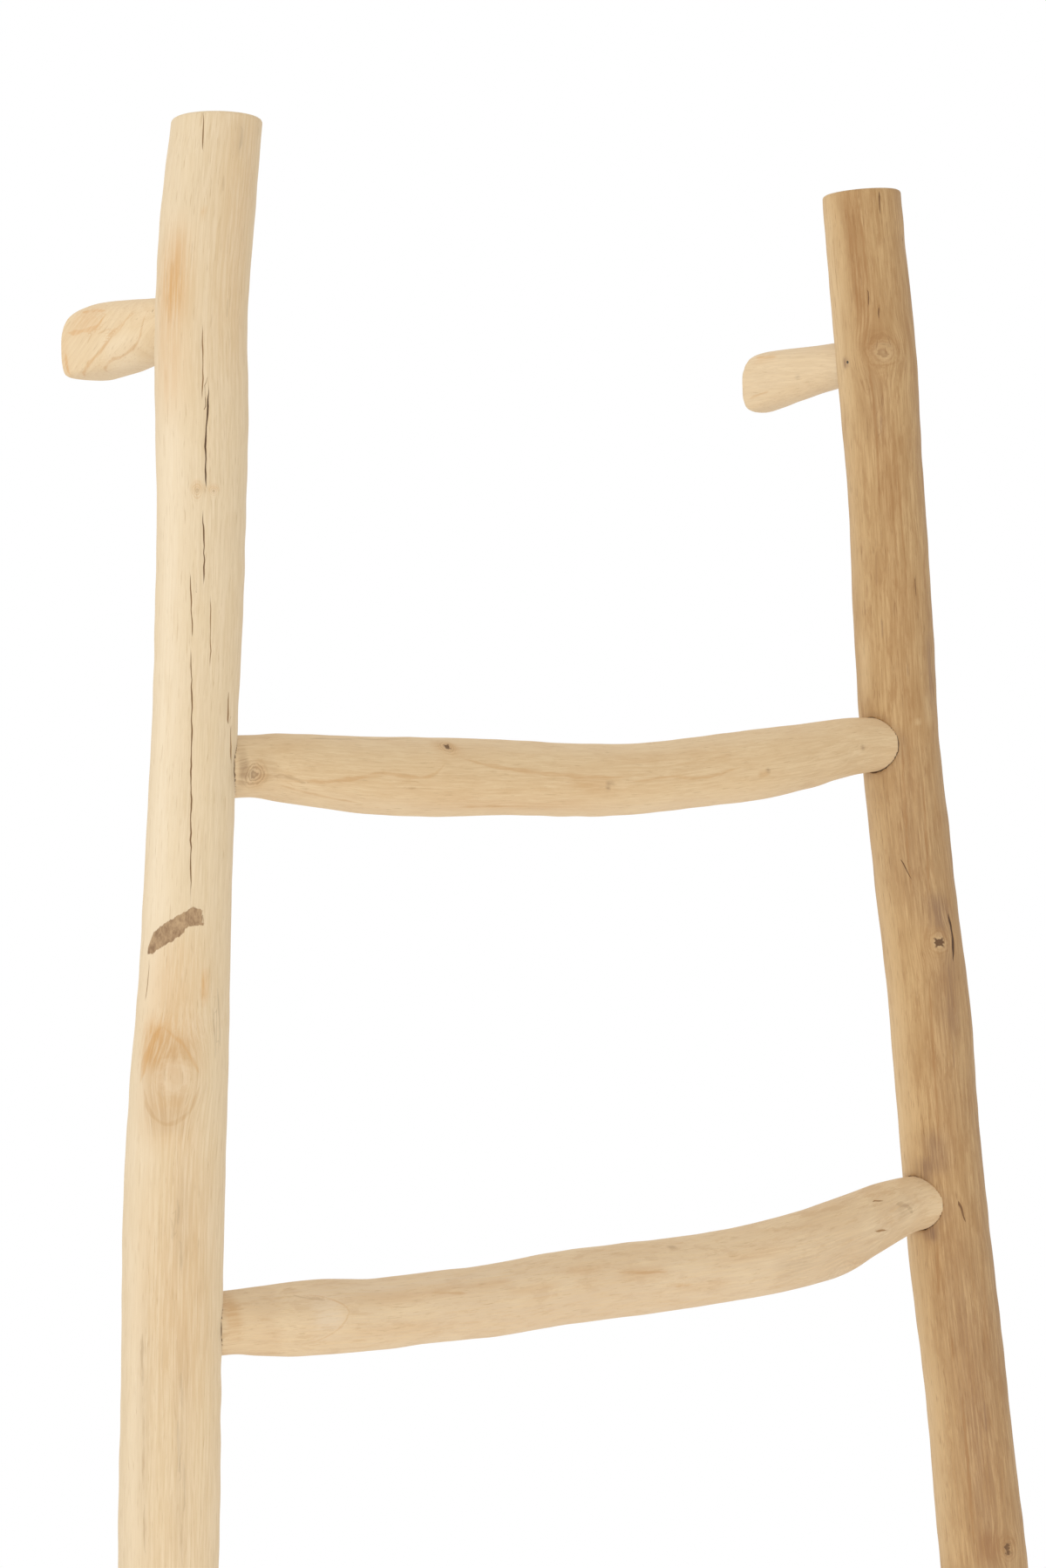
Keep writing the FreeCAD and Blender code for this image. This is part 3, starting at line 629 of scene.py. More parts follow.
rungHeights = {"rung_1": 302, "rung_2": 592, "rung_3": 882, "rung_4": 1172, "rung_5": 1462}
pegHeight = 1696
# a seat's radius round the tenon, how far its floor lies in, how near a grid point slides on to the rim,
# how far the hole sits below its tenon and how much thinner the seam is on top
seat = dict(rungRadius=16.95, pegRadius=14.3, depth=2.5, snap=0.75, drop=0.2, tight=0.6)


def railAt(line, height):
    # a rail's sideways place, place front to back and thickness at one height
    line = np.array(line, float)
    return [float(smoothLine(line[:, 0], line[:, column], np.array([height]))[0]) for column in (1, 2, 3)]


def railMouths(line, side, rises):
    # a seat on the inner side for each rung, and one behind for the peg
    mouths = []
    for rung, height in rungHeights.items():
        height = height + rises.get(rung, 0)
        _, deep, _ = railAt(line, height)
        mouths.append(dict(seat, along=height, way=0, side=side, middle=(deep, height - seat["drop"]),
                           radius=seat["rungRadius"]))
    out, _, _ = railAt(line, pegHeight)
    mouths.append(dict(seat, along=pegHeight, way=1, side=1, middle=(out, pegHeight),
                       radius=seat["pegRadius"]))
    return mouths


def everywhere(along):
    # 1 all along: no part of a rail is turned
    return np.ones(len(along))


railShape = dict(axis="z", columns=128, rowStep=3.6, fineStep=1.2, ease=2.0, quiet=everywhere, waviness=0.3)
leftRail = dict(
    railShape, node="left_rail", slot="left_rail_wood", seed=3, topLean=-0.03,
    # height, sideways place, place front to back, thickness
    line=[(0, -315, -44, 57), (302, -310, -42, 55.5), (592, -303, -41, 54.5), (882, -293.5, -43, 53),
          (1064, -285, -44, 51.8), (1172, -279.2, -44, 51.8), (1256, -273.4, -43.8, 52),
          (1304, -269.3, -44, 51), (1352, -264.6, -44, 47), (1400, -260.3, -43.8, 45.6),
          (1462, -254.7, -44, 45), (1544, -248.7, -45.4, 45.4), (1592, -246, -46.5, 46.4),
          (1640, -244.3, -47.3, 48), (1696, -242.6, -47.6, 48.6), (1736, -238.6, -48.2, 49),
          (1800, -229.5, -48.6, 47.6)],
    # a line's places as height and angle, then its half width, depth and tone; a vein has no depth
    checks=[([(1800, -48), (1790, -46), (1778, -44)], 0.25, 0.4, 0.3),
            ([(1692, -29), (1668, -29), (1648, -31)], 0.25, 0.4, 0.2),
            ([(1660, -22), (1645, -24), (1632, -26), (1619, -26), (1604, -26)], 0.38, 0.8, 1.0),
            ([(1596, -30), (1584, -28), (1570, -26), (1554, -26)], 0.28, 0.5, 0.7),
            ([(1564, -44), (1545, -41), (1528, -38)], 0.25, 0.4, 0.4),
            ([(1530, -42), (1503, -37), (1454, -33), (1420, -29), (1388, -26)], 0.3, 0.7, 0.5),
            ([(1554, -17), (1532, -15), (1510, -13)], 0.18, 0.2, 0.1),
            ([(1501, 18), (1492, 19), (1484, 20)], 0.5, 0.2, 0.3),
            ([(1484, 27), (1475, 28), (1463, 30)], 0.45, 0.2, 0.2),
            ([(1366, -83), (1354, -84), (1342, -86)], 0.22, 0.3, 0.1)],
    veins=[([(1302, -80), (1318, -72), (1331, -55)], 1.8, 0.1),
           ([(1331, -55), (1322, -30), (1306, -8)], 0.7, 0.2),
           ([(1300, -74), (1287, -62), (1281, -42), (1286, -20), (1300, -7)], 1.0, 0.5),
           ([(1340, 8), (1325, 12), (1312, 14)], 0.4, 1), ([(1350, 16), (1335, 20), (1318, 22)], 0.5, 1),
           ([(1244, -27), (1236, -26), (1229, -26)], 0.5, 0.9),
           ([(1234, -33), (1228, -32), (1222, -32)], 0.5, 0.8),
           ([(1222, -22), (1214, -21), (1206, -21)], 0.5, 0.9),
           ([(1176, -66), (1162, -65), (1148, -64)], 0.7, 0.9),
           ([(1140, -63), (1118, -62), (1098, -62)], 0.5, 0.8),
           ([(1090, -60), (1078, -60), (1064, -59)], 0.5, 0.9),
           ([(1156, -19), (1146, -18), (1136, -18)], 0.5, 0.9),
           ([(1132, -22), (1118, -21), (1104, -20)], 0.6, 1),
           ([(1112, -15), (1098, -14), (1084, -14)], 0.6, 0.9),
           ([(1080, -17), (1068, -17), (1056, -16)], 0.5, 0.8), ([(1792, 4), (1786, 4), (1780, 3)], 0.7, 1),
           ([(1766, -16), (1762, -15), (1758, -15)], 0.6, 0.8), ([(1704, 3), (1698, 3), (1693, 3)], 0.3, 1)],
    # height, angle, size, stretch along the branch, how far it stands out, heart, rings, pale disc
    knots=[(1305, -37, 9.0, 1.2, 1.1, 0.0, 0.2, 0.28), (1604, -37, 2.0, 1.5, 0.1, 0.2, 0.8, 0.0),
           (1604, -16, 2.0, 1.0, 0.1, 0.25, 0.7, 0.0)],
    # each kind's patches: height, angle, half length, half width, strength
    stainsAndLight=dict(
        tan=[(1718, -68, 24, 8, 0.45), (1688, -76, 42, 12, 0.5), (1345, -44, 34, 17, 0.36),
             (1322, -67, 12, 6, 0.5), (1350, -4, 8, 2, 0.7), (1302, -44, 28, 14, 0.66),
             (1740, 10, 80, 14, 0.26), (1205, -12, 70, 13, 0.26), (1205, -58, 60, 12, 0.1),
             (1747, -36, 3, 1.2, 0.5), (1110, -20, 140, 26, 0.16), (1263, -30, 16, 8, 0.08)],
        grey=[(1282, -40, 7, 12, 0.24), (1306, -42, 22, 14, 0.36), (1205, -14, 70, 13, 0.1),
              (1110, -36, 80, 14, 0.08), (1786, 4, 9, 3, 0.25), (1230, -21, 28, 4, 0.2),
              (1130, -63, 60, 4, 0.2), (1110, -17, 60, 4, 0.2)],
        pale=[(1500, -76, 260, 11, 0.6), (1130, -75, 90, 6, 0.4)]),
    # height and angle round the edge of the bark patch, and the branch's radius there
    bark=[(1368, -90), (1378, -77), (1386, -47), (1391, -23), (1389, -11), (1382, -9), (1381, -29),
          (1376, -40), (1372, -57), (1367, -82)],
    barkRadius=23.2)
leftRail["mouths"] = railMouths(leftRail["line"], 1, {})

rightRail = dict(
    railShape, node="right_rail", slot="right_rail_wood", seed=7, topLean=0.05,
    line=[(0, 315, -44, 58), (302, 316, -46, 56.5), (592, 313, -47, 56), (882, 304.5, -45, 54),
          (956, 298.3, -43.7, 53.6), (1052, 289.3, -43.6, 51.4), (1148, 279, -43.3, 51.8),
          (1196, 274.7, -43.4, 50.3), (1244, 271, -43.9, 49.4), (1292, 267.2, -44.3, 50),
          (1340, 262.7, -44.4, 49.8), (1388, 256.8, -44, 48.7), (1436, 252, -43.8, 48.8),
          (1484, 249.4, -43.3, 48.2), (1532, 248.7, -42.5, 48), (1628, 247.1, -40.7, 47.3),
          (1676, 245.6, -39.7, 48.7), (1724, 243, -38.6, 49), (1800, 238, -37.8, 48.2)],
    checks=[([(1798, -17), (1790, -18), (1783, -19)], 0.4, 0.2, 0),
            ([(1738, -46), (1732, -47), (1727, -48)], 0.3, 0.1, 0),
            ([(1728, -33), (1724, -34), (1720, -34)], 0.28, 0.1, 0),
            ([(1564, -5), (1557, -6), (1550, -6)], 0.26, 0.1, 0),
            ([(1392, -59), (1385, -53), (1378, -46)], 0.28, 0.2, 0.4),
            ([(1358, 1), (1343, 4), (1327, 0)], 0.8, 0.4, 0.8),
            ([(1181, -26), (1175, -22), (1167, -18)], 0.6, 0.3, 0),
            ([(1773, 26), (1770, 26), (1767, 25)], 0.4, 0.1, 0)],
    veins=[([(1799, -68), (1770, -66), (1724, -62)], 1.1, 0),
           ([(1790, -50), (1765, -47), (1740, -46)], 0.8, 0),
           ([(1700, -55), (1650, -52), (1600, -54)], 0.7, 0),
           ([(1662, -44), (1656, -44), (1650, -45)], 0.6, 1),
           ([(1580, -62), (1570, -64), (1558, -65)], 0.6, 0.4),
           ([(1539, -60), (1532, -60), (1526, -61)], 0.5, 1),
           ([(1511, -26), (1506, -26), (1502, -27)], 0.5, 1),
           ([(1640, -24), (1590, -22), (1540, -20)], 0.5, 0),
           ([(1470, -40), (1420, -46), (1370, -50)], 0.8, 0),
           ([(1440, -14), (1400, -20), (1370, -24)], 0.7, 0),
           ([(1282, -12), (1271, -13), (1261, -15)], 0.6, 1),
           ([(1320, -40), (1260, -44), (1215, -46)], 0.9, 0),
           ([(1096, -54), (1088, -56), (1080, -57)], 0.7, 0),
           ([(1057, -19), (1046, -21), (1035, -23)], 0.7, 1),
           ([(1156, -60), (1140, -63), (1122, -67)], 1.6, 0),
           ([(1130, 3), (1108, -4), (1086, -9)], 1.2, 0.2),
           ([(1060, -50), (1010, -52), (965, -54)], 0.9, 0),
           ([(1685, -70), (1679, -66), (1674, -60)], 0.5, 0.3)],
    knots=[(1700, -33, 8.0, 1.0, 0.4, 0.2, 0.7, 0.3), (1340, -20, 5.5, 1.0, 0.6, 1.0, 0.5, 0.4),
           (962, -7, 5.0, 1.2, 0.6, 0.85, 0.6, 0.0)],
    stainsAndLight=dict(
        tan=[(1010, -30, 150, 26, 0.1), (1755, -60, 60, 6, 0.5), (1755, 14, 70, 11, 0.22),
             (1728, -52, 28, 7, 0.22), (1640, -40, 110, 9, 0.18), (1625, -36, 26, 8, 0.3),
             (1500, -30, 80, 9, 0.3), (1140, -64, 22, 7, 0.3), (1108, -3, 30, 6, 0.3),
             (1030, -30, 60, 9, 0.3), (965, -34, 10, 7, 0.7), (1250, -40, 120, 8, 0.25)],
        # the long grey patch at angle 36 is painted shade down the rail's right side; the other grey patches
        # are stains
        grey=[(1695.5, -95, 3.2, 2.2, 1.0), (1000, -20, 170, 30, 0.34), (1500, 36, 420, 16, 0.28),
              (1190, 20, 90, 20, 0.12), (1668, -48, 24, 8, 0.18), (1506, 17, 20, 4, 0.5),
              (1358, -17, 12, 7, 0.55), (1344, -4, 24, 6, 0.3), (1306, -11, 24, 7, 0.45),
              (1211, -52, 13, 8, 0.6), (1199, -70, 8, 6, 0.6), (1161, -68, 5, 4, 0.9),
              (1405, -38, 50, 20, 0.3), (1280, -20, 60, 12, 0.2), (1060, -37, 100, 10, 0.14)],
        # the long pale strips at angles -104 to -114 are sapwood with painted light from the left laid over
        # it; the small patches are pale spots
        pale=[(1740, -110, 90, 13, 0.75), (1590, -114, 60, 12, 0.3), (1220, -112, 130, 13, 0.7),
              (1020, -112, 80, 15, 0.7), (1509, -97, 20, 6, 0.5), (1482, 6, 10, 3, 0.5),
              (1475, -15, 2, 2, 0.6), (1405, -104, 60, 12, 0.35)]))
rightRail["mouths"] = railMouths(rightRail["line"], -1, {"rung_4": 7})  # this rung rises to the right

railFinish = dict(
    ringStep=2.4, ringWander=7.0, ringShare=0.05, cloudShare=0.4, poreShare=0.4, veinShare=0.6,
    rough=0.52, fleck=1.0,
    mottleShare=0.2, mottle=paint(210, 183, 142), streakShare=0.4,
    pale=paint(229, 208, 175), tan=paint(214, 191, 154), warm=paint(222, 199, 160), ring=paint(202, 169, 124),
    sapwoodAndLight=paint(244, 227, 198), orange=paint(208, 160, 100), grey=paint(178, 156, 126),
    pore=paint(184, 152, 110), knotRing=paint(196, 152, 98), knotHeart=paint(104, 76, 48),
    crack=paint(84, 58, 36), crackPale=paint(158, 122, 82), seam=paint(112, 80, 50),
    bark=paint(186, 155, 118), barkDark=paint(142, 112, 82))

leftRailWood = peeledWood("leftRailWood", railFinish)
rightRailWood = peeledWood("rightRailWood", dict(
    railFinish, cloudShare=0.75, poreShare=0.55, veinShare=0.5,
    mottleShare=0.5, mottle=paint(164, 124, 78), streakShare=0.5,
    pale=paint(207, 172, 124), tan=paint(179, 144, 97), warm=paint(175, 137, 90), ring=paint(152, 106, 62),
    sapwoodAndLight=paint(224, 194, 148), orange=paint(158, 113, 66), grey=paint(138, 106, 80),
    pore=paint(136, 98, 60), knotRing=paint(146, 102, 60), knotHeart=paint(88, 58, 33),
    crack=paint(70, 48, 30), crackPale=paint(120, 86, 54), seam=paint(84, 58, 36)))

for side, rail, railWood in (("left", leftRail, leftRailWood), ("right", rightRail, rightRailWood)):
    railBranch = makeBranch(side + "RailBranch", rail)
    railBranch.data.materials.append(railWood)


# Rungs

tenonEase = 18  # length over which a tenon becomes uneven branch


def tenonEnds(low, high):
    # 0 on the turned tenons inside the rails, rising to 1 on the branch between them
    return lambda along: np.clip(np.minimum(along - low, high - along) / tenonEase, 0, 1)


rungShape = dict(slot="rung_wood", axis="x", figure=2.5, columns=104, rowStep=2.6, fineStep=1.0, ease=1.5,
                 waviness=0.25)
rungs = dict(
    rung_5=dict(
        seed=11, quiet=tenonEnds(-228, 224), figure=1.5,
        # sideways place, height, place front to back, thickness
        line=[(-262, 1462, -44, 33), (-232, 1462, -44, 33), (-221, 1462, -44, 33),
              (-201, 1460.6, -44, 36.8), (-181, 1458.4, -44, 39.2), (-150, 1455.1, -44, 41.6),
              (-109, 1453, -44, 42.8), (-58, 1450.9, -44, 42.4), (-8, 1448.1, -44, 41.8),
              (43, 1447.2, -44, 41), (94, 1450, -44, 40.9), (145, 1453.8, -44, 41),
              (176, 1457.2, -44, 38.9), (206, 1461.1, -44, 35.4), (226, 1462, -44, 33),
              (258, 1462, -44, 33)],
        checks=[],
        veins=[([(-212, 26), (-182, 18), (-150, -1), (-116, -3), (-107, -22)], 1.1, 0.1),
               ([(-97, -28), (-80, -17), (-55, -10), (-26, -5), (20, -2)], 1.1, 0.1),
               ([(-216, 18), (-206, 20), (-196, 26)], 1.4, 0.8),
               ([(-212, 34), (-190, 44), (-160, 50)], 0.6, 0.2),
               ([(-190, -58), (-160, -66), (-120, -72)], 0.8, 1),
               ([(-96, 50), (-72, 50), (-48, 49)], 0.7, 0.1),
               ([(20, 4), (50, 0), (80, 6), (104, -4)], 0.8, 0.1),
               ([(-134, 18), (-131, 18), (-128, 18)], 0.6, 0.6)],
        knots=[(-227, 16, 4.6, 1.0, 0.3, 0.3, 1.0, 0.1), (-103, -47, 3.2, 1.0, 0.6, 1.0, 0.7, 0.0)],
        stainsAndLight=dict(
            tan=[(-103, -47, 9, 6, 0.35), (-8, 8, 16, 4, 0.25), (121, 13, 4, 2, 0.4), (-60, 46, 60, 5, 0.3),
                 (60, -30, 50, 6, 0.2), (-60, 16, 150, 9, 0.12)],
            # the grey patch at 190 is painted shade on the lower side of the rung's right end; the others are
            # stains
            grey=[(-222, 12, 9, 8, 0.25), (-234, 6, 3, 10, 0.7), (5, 6, 1.6, 1.1, 0.9),
                  (4, 13, 1.4, 1, 0.8), (124, 8, 1.6, 1.1, 0.8), (202, 1, 2, 1.5, 0.7),
                  (190, 35, 60, 20, 0.16), (0, -2, 240, 9, 0.08)],
            pale=[(-40, 56, 220, 9, 0.3), (20, -58, 240, 8, 0.2)])),
    rung_4=dict(
        seed=13, quiet=tenonEnds(-250, 248), figure=4.0,
        line=[(-287, 1172, -44, 33), (-254, 1172, -44, 33), (-242, 1171.6, -44, 33.2),
              (-230, 1170.3, -44, 34.8), (-208, 1168.3, -44, 38.2), (-186, 1166.8, -44, 39.8),
              (-152, 1163.8, -44, 38.7), (-118, 1163, -44, 38.8), (-74, 1161.1, -44, 40),
              (-29, 1161.7, -44, 41), (16, 1160.9, -44, 41.2), (61, 1159.6, -44, 41.2),
              (94, 1159.3, -44, 41.7), (128, 1160.2, -44, 43.6), (161, 1162.9, -44, 44.8),
              (184, 1166.1, -44, 44.3), (206, 1171.1, -44, 40.8), (228, 1176.1, -44, 37.2),
              (247, 1178.8, -44, 33.6), (254, 1179, -44, 33), (284, 1179, -44, 33)],
        checks=[([(202, -52), (206, -49), (210, -45)], 0.4, 0.1, 0),
                ([(196, -4), (201, 0), (206, 4)], 0.45, 0.1, 0)],
        veins=[([(-206, -50), (-192, -38), (-182, -16), (-188, 8), (-204, 34)], 0.4, 0),
               ([(-212, -52), (-204, -42), (-194, -36)], 0.6, 0.8),
               ([(-126, -34), (-115, -30), (-104, -26)], 0.8, 0.2),
               ([(0, -24), (20, -18), (36, -15)], 0.8, 0.1), ([(40, 10), (47, 10), (54, 11)], 0.8, 0),
               ([(218, -30), (226, -18), (230, 0)], 1.6, 1)],
        knots=[(172, 46, 7.0, 1.2, 0.8, 0.0, 0.25, 0.2)],
        stainsAndLight=dict(
            tan=[(-251, -30, 5, 12, 0.55), (-135, -33, 40, 4, 0.3), (18, -18, 18, 4, 0.3),
                 (-84, -38, 12, 2.5, 0.35), (-60, -20, 18, 2.5, 0.3), (-22, -36, 14, 3, 0.3),
                 (-150, 18, 26, 3, 0.25), (62, 16, 24, 3, 0.25), (100, -22, 30, 4, 0.25)],
            # the wide grey patch at 190 is painted shade over the rung's right end, near the rail; the others
            # are stains
            grey=[(47, -59, 2.5, 2, 0.5), (224, -14, 7, 5, 0.25), (130, 10, 14, 6, 0.18),
                  (190, 0, 60, 40, 0.14), (0, 18, 260, 18, 0.12)],
            pale=[(-195, -10, 9, 9, 0.4), (0, 34, 260, 50, 0.48), (-150, -56, 110, 8, 0.25)])),
    rung_3=dict(
        seed=17, quiet=tenonEnds(-264, 274),
        line=[(-301, 882, -43, 33), (-267, 882, -43, 33), (-215, 884.5, -42.5, 38.5),
              (-79, 890, -41.5, 42.5), (89, 890, -41.5, 42), (226, 884.5, -44, 38), (277, 882, -45, 33),
              (312, 882, -45, 33)],
        checks=[([(-60, -30), (-25, -27), (10, -26)], 0.3, 0.3, 0)],
        veins=[([(-200, 10), (-120, 4), (-60, 12)], 0.8, 0), ([(40, -12), (100, -4), (170, -10)], 0.8, 0.2)],
        knots=[(60, -25, 5.0, 1.1, 0.6, 0.7, 0.7, 0.0), (-160, 150, 5.0, 1.0, 0.5, 0.5, 0.7, 0.0)],
        stainsAndLight=dict(
            tan=[(-90, 10, 60, 4, 0.3)],
            grey=[(150, -20, 30, 4, 0.2)])),
    rung_2=dict(
        seed=19, quiet=tenonEnds(-272, 282),
        line=[(-311, 592, -41, 33), (-276, 592, -41, 33), (-222, 589, -41.6, 38.5), (-82, 583, -46, 42.5),
              (91, 582, -47.5, 43), (231, 588.5, -46.6, 39), (285, 592, -47, 33), (321, 592, -47, 33)],
        checks=[([(40, 20), (80, 23), (120, 24)], 0.3, 0.3, 0)],
        veins=[([(-190, -8), (-90, -2), (0, -10)], 0.8, 0), ([(60, 40), (120, 34), (200, 38)], 0.8, 0.2)],
        knots=[(-120, -40, 5.0, 1.1, 0.6, 0.7, 0.7, 0.0), (150, 160, 5.5, 1.0, 0.5, 0.5, 0.7, 0.0)],
        stainsAndLight=dict(
            tan=[(60, -15, 70, 4, 0.3)],
            grey=[(-180, 15, 30, 4, 0.2)])),
    rung_1=dict(
        seed=23, quiet=tenonEnds(-279, 285),
        line=[(-318, 302, -42, 33), (-282, 302, -42, 33), (-228, 303.5, -41.9, 39), (-85, 306, -40.4, 43.5),
              (91, 300, -40.6, 43.5), (234, 300, -45.1, 38.5), (288, 302, -46, 33), (324, 302, -46, 33)],
        checks=[([(-150, -10), (-115, -12), (-80, -14)], 0.3, 0.3, 0)],
        veins=[([(-60, 16), (0, 22), (80, 14)], 0.8, 0), ([(-210, 30), (-140, 26), (-90, 34)], 0.8, 0.2)],
        knots=[(110, -35, 5.5, 1.1, 0.7, 0.7, 0.7, 0.0), (-40, 140, 5.0, 1.0, 0.5, 0.5, 0.7, 0.0)],
        stainsAndLight=dict(
            tan=[(-20, 0, 80, 4, 0.3)],
            grey=[(190, 25, 30, 4, 0.2)])))

rungWood = peeledWood("rungWood", dict(
    railFinish, cloudShare=0.55, poreShare=0.45, veinShare=0.42, fleck=1.4,
    mottleShare=0.14, mottle=paint(200, 164, 118), streakShare=0.5,
    pale=paint(226, 200, 159), tan=paint(215, 185, 142), warm=paint(216, 185, 141), ring=paint(194, 152, 104),
    sapwoodAndLight=paint(226, 206, 178), orange=paint(196, 148, 92), grey=paint(158, 127, 94),
    knotRing=paint(140, 102, 62)))

for rungName, rung in rungs.items():
    rungBranch = makeBranch(rungName.replace("_", "") + "Branch", dict(rungShape, node=rungName, **rung))
    rungBranch.data.materials.append(rungWood)


# Pegs

pegEase = 20  # length over which a peg's tenon becomes uneven branch


def pegTenon(along):
    # 0 on the turned tenon, rising to 1 at the place where along is 0
    return np.clip((along + pegEase) / pegEase, 0, 1)


pegShape = dict(slot="peg_wood", axis="y", columns=112, rowStep=1.3, fineStep=1.0, waviness=0.15,
                quiet=pegTenon)
pegs = dict(
    left_peg=dict(
        seed=29, ease=3.5, crown=0.8, grainLean=-30, figure=0.18,
        # lean and wear of the free end, and where along the peg they start and are full
        slant=(0.06, 0.018, 30, 73),
        # place front to back, sideways place, height, thickness
        line=[(-54, -242.6, 1696, 27), (-26, -242.6, 1696, 27.5), (-12, -242.5, 1696, 31),
              (4, -242.3, 1696, 34), (20, -242.2, 1696.4, 36.6), (38, -242, 1696.6, 39.2),
              (54, -242, 1696.8, 40.6), (73, -242, 1696.6, 40)],
        # place along the peg, half width between its flat cheeks, depth of its underside, growth of the
        # lower corners
        cheeks=[(-4, 20, 20, 0), (20, 18, 19.5, 2), (73, 17.5, 19.3, 5)],
        checks=[([(-20, -58), (-20, -62), (-20, -67)], 0.3, 0.2, 0.3)], knots=[],
        veins=[([(67, -162), (46, -133), (29, -118), (16, -100), (1, -70), (-1, -49)], 0.8, 0.1),
               ([(42, -167), (36, -148), (22, -136), (9, -133), (-10, -108), (-17, -54)], 0.7, 0.2),
               ([(66, -75), (47, -78), (29, -72), (24, -56)], 1.3, 0),
               ([(56, -45), (40, -46), (26, -51)], 1.0, 0), ([(43, -102), (40, -94), (37, -86)], 0.4, 0.4),
               ([(32, -90), (24, -87), (16, -84)], 0.4, 0.2),
               ([(66, -142), (67, -125), (68, -108)], 1.2, 0),
               ([(24, -100), (8, -84), (-4, -62)], 0.5, 0.1)],
        stainsAndLight=dict(
            tan=[(46, -68, 18, 6, 0.3), (46, -46, 14, 5, 0.25), (70, -110, 6, 12, 0.25)],
            pale=[(16, -150, 16, 7, 0.4), (10, -112, 16, 5, 0.3)])),
    right_peg=dict(
        seed=31, ease=7.0, crown=1.0, grainLean=6, figure=0.1, slant=(0.03, 0.008, 36, 73),
        line=[(-46, 244.9, 1698, 27), (-18, 244.9, 1698.2, 27.2), (-6, 244.7, 1698.8, 28),
              (6, 244.5, 1698.6, 29), (22, 244.3, 1698, 31), (42, 244.3, 1697.2, 34.2),
              (58, 244.3, 1696.2, 37), (73, 244.3, 1695, 37.6)],
        cheeks=[(-6, 16, 17, 0), (20, 15, 17.5, 0.5), (73, 12, 19, 1.5)],
        checks=[], knots=[],
        veins=[([(60, -38), (50, -43), (38, -46)], 0.8, 0.1),
               ([(66, -130), (56, -127), (45, -124)], 0.5, 0.3)],
        stainsAndLight=dict(
            tan=[(50, -44, 10, 3, 0.3), (20, -90, 90, 60, 0.08)],
            grey=[(17, -108, 2, 1.5, 0.4), (20, -90, 90, 60, 0.2)],
            pale=[(20, -90, 90, 40, 0.15)])))

pegWood = peeledWood("pegWood", dict(
    railFinish, ringStep=3.2, ringWander=5.0, ringShare=0.8,
    pale=paint(232, 208, 170), tan=paint(224, 197, 157), warm=paint(228, 201, 159), ring=paint(204, 166, 116),
    orange=paint(214, 166, 110)))

for pegName, peg in pegs.items():
    pegBranch = makeBranch(pegName.split("_")[0] + "PegBranch", dict(pegShape, node=pegName, **peg))
    pegBranch.data.materials.append(pegWood)


# Nails

nails = dict(
    length=32, radius=1.5, headRise=0.25, tipRise=0.2, sink=0.5, columns=32,
    # distance from the head or from the tip, and how much thinner the nail is there
    head=[(0, 0.4), (0.2, 0.1), (0.5, 0), (1.5, 0), (14, 0)], tip=[(4, 0), (1.5, 0.6), (0, 1.3)],
    # bare steel first and rust second
    colours=(paint(92, 88, 76), paint(70, 54, 38)), metal=(0.75, 0.1), rough=(0.4, 0.8),
    rust=(1800, 1800, 4, 0.6), rustLevels=(0.4, 0.62))


def nailSteel(values):
    # steel with spots of rust, which are darker, rougher and hardly metallic
    material = bpy.data.materials.new("nailSteel")
    material.use_nodes = True
    tree = material.node_tree
    shader = tree.nodes["Principled BSDF"]
    place = put(tree, "TexCoord").outputs["Object"]
    rust = between(tree, noise(tree, place, *values["rust"]), *values["rustLevels"])
    tree.links.new(tint(tree, rust, *values["colours"]), shader.inputs["Base Color"])
    tree.links.new(between(tree, rust, 0, 1, *values["metal"]), shader.inputs["Metallic"])
    tree.links.new(between(tree, rust, 0, 1, *values["rough"]), shader.inputs["Roughness"])
    return material


def makeNails(values):
    # each nail is a profile turned about its axis: a crowned head, a straight shank and a point
    head, tip = np.array(values["head"], float), np.array(values["tip"], float)
    reach = np.concatenate([head[:, 0], values["length"] - tip[:, 0]])[:, None]
    radius = values["radius"] - np.concatenate([head[:, 1], tip[:, 1]])[:, None]
    around = np.linspace(-np.pi, np.pi, values["columns"], endpoint=False)
    points, faces = [], []
    for rail, side in ((leftRail, 1), (rightRail, -1)):
        out, deep, thick = railAt(rail["line"], pegHeight)
        face = out + side * (thick / 2 - values["sink"])
        ring = np.stack([face - side * reach + 0 * around, deep + radius * np.cos(around),
                         pegHeight - side * radius * np.sin(around)], axis=-1)
        start = sum(len(part) for part in points)
        index = start + np.arange(ring[..., 0].size).reshape(ring.shape[:2])
        onward = np.roll(index, -1, axis=1)
        faces += np.stack([index[:-1], index[1:], onward[1:], onward[:-1]], axis=-1).reshape(-1, 4).tolist()
        headPoint = np.full(len(around), index[-1, -1] + 1)
        faces += np.stack([index[0], onward[0], headPoint], axis=-1).tolist()
        faces += np.stack([onward[-1], index[-1], headPoint + 1], axis=-1).tolist()
        ends = [(face + side * values["headRise"], deep, pegHeight),
                (face - side * (values["length"] + values["tipRise"]), deep, pegHeight)]
        points.append(np.concatenate([ring.reshape(-1, 3), ends]))
    mesh = bpy.data.meshes.new("pegNails")
    mesh.from_pydata(np.concatenate(points) * mm, [], faces)
    mesh.shade_smooth()
    return newObject("pegNails", mesh)


pegNails = makeNails(nails)
pegNails.data.materials.append(nailSteel(nails))
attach(pegNails, "root")
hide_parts("peg_nails")
print("pegs and nails made")


# Floor, light and camera

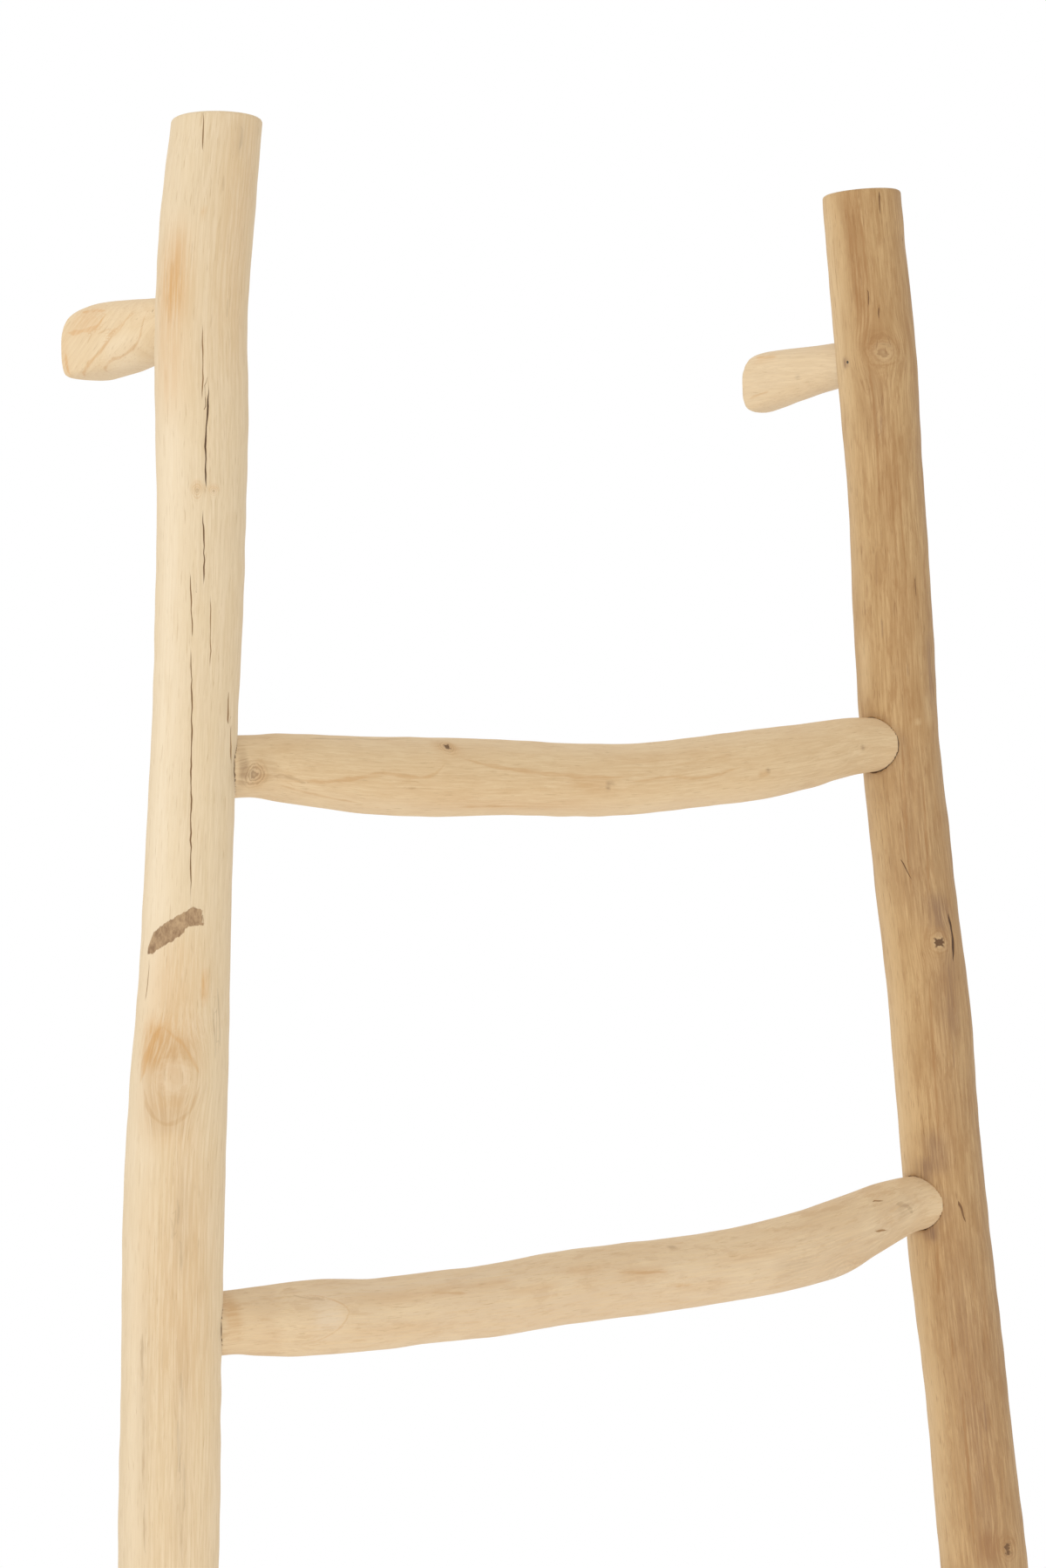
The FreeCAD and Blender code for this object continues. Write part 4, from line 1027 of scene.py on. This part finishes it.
studio = dict(
    floorRadius=2.6, floorSides=96, floorGrey=0.92, floorRough=0.8,
    ambient=0.94, ambientLean=(0.25, 0, 0), lampTarget=(0, 0, 1.3),
    keyPlace=(-2.9, -0.8, 1.5), keyPower=4.0, keySize=2.2,
    bouncePlace=(-0.3, -0.9, 0.35), bouncePower=3.0, bounceSize=0.7,
    # camera: turns in degrees, place in millimetres, focal length and height in the photograph's pixels
    yaw=-36.832, pitch=-0.56, roll=-1.916, place=(-1110.2, -1471.7, 1464.2),
    focalPixels=3653, photoHeight=1799, sensorWidth=36)


def makeFloor(values):
    # a flat disc
    around = np.linspace(0, 2*np.pi, values["floorSides"], endpoint=False)
    ring = np.stack([np.cos(around), np.sin(around), 0 * around], axis=-1) * values["floorRadius"]
    mesh = bpy.data.meshes.new("studioFloor")
    mesh.from_pydata(ring, [], [list(range(values["floorSides"]))])
    floor = newObject("studioFloor", mesh)
    material = bpy.data.materials.new("paleFloor")
    material.use_nodes = True
    shader = material.node_tree.nodes["Principled BSDF"]
    shader.inputs["Base Color"].default_value = [values["floorGrey"]] * 3 + [1]
    shader.inputs["Roughness"].default_value = values["floorRough"]
    mesh.materials.append(material)


def makeWorld(values):
    # white where it is seen, and a soft light that leans to one side: ambient * (1 + lean . direction)
    world = bpy.data.worlds.new("studioWorld")
    bpy.context.scene.world = world
    world.use_nodes = True
    tree = world.node_tree
    path = put(tree, "LightPath").outputs
    mirrored = sums(tree, "MAXIMUM", path["Is Glossy Ray"], path["Is Transmission Ray"])
    seen = sums(tree, "MAXIMUM", path["Is Camera Ray"], mirrored)
    back = put(tree, "NewGeometry").outputs["Incoming"]  # points from the sky to the piece
    lean = put(tree, "VectorMath", {0: back, 1: values["ambientLean"]}, operation="DOT_PRODUCT")
    soft = sums(tree, "MULTIPLY", sums(tree, "ADD", lean.outputs["Value"], 1.0), values["ambient"])
    strength = put(tree, "Mix", {0: seen, 2: soft, 3: 1.0}).outputs[0]
    tree.links.new(strength, tree.nodes["Background"].inputs["Strength"])
    tree.nodes["Background"].inputs["Color"].default_value = (1, 1, 1, 1)


def standAt(name, data, side, upright, back, place):
    # the columns of the matrix are the object's three axes and its place
    made = newObject(name, data)
    turn = np.eye(4)
    turn[:3] = np.stack([side, upright, back, place], axis=1)
    made.matrix_world = Matrix(turn.tolist())
    return made


def makeLamp(values, kind):
    # an area lamp that faces the target: back = place - target
    data = bpy.data.lights.new(kind + "Lamp", "AREA")
    data.energy = values[kind + "Power"]
    data.size = values[kind + "Size"]
    place = np.array(values[kind + "Place"], float)
    back = place - np.array(values["lampTarget"], float)
    back /= np.linalg.norm(back)
    side = np.cross((0, 0, 1), back)
    side /= np.linalg.norm(side)
    standAt(kind + "Lamp", data, side, np.cross(back, side), back, place)


def makeCamera(values):
    # turned by yaw, pitch and roll; lens = focal length in pixels / photograph's height * sensor
    yaw, pitch, roll = np.radians([values["yaw"], values["pitch"], values["roll"]])
    ahead = np.array([-np.sin(yaw) * np.cos(pitch), np.cos(yaw) * np.cos(pitch), np.sin(pitch)])
    level = np.array([np.cos(yaw), np.sin(yaw), 0])
    upright = np.cross(level, ahead)
    right = np.cos(roll) * level + np.sin(roll) * upright
    upright = np.cos(roll) * upright - np.sin(roll) * level
    data = bpy.data.cameras.new("photoCamera")
    data.sensor_width = values["sensorWidth"]
    data.lens = values["focalPixels"] / values["photoHeight"] * values["sensorWidth"]
    place = np.array(values["place"]) * mm
    bpy.context.scene.camera = standAt("photoCamera", data, right, upright, -ahead, place)


makeFloor(studio)
makeWorld(studio)
makeLamp(studio, "key")
makeLamp(studio, "bounce")
makeCamera(studio)
bpy.context.scene.view_settings.view_transform = "Standard"
print("studio made")
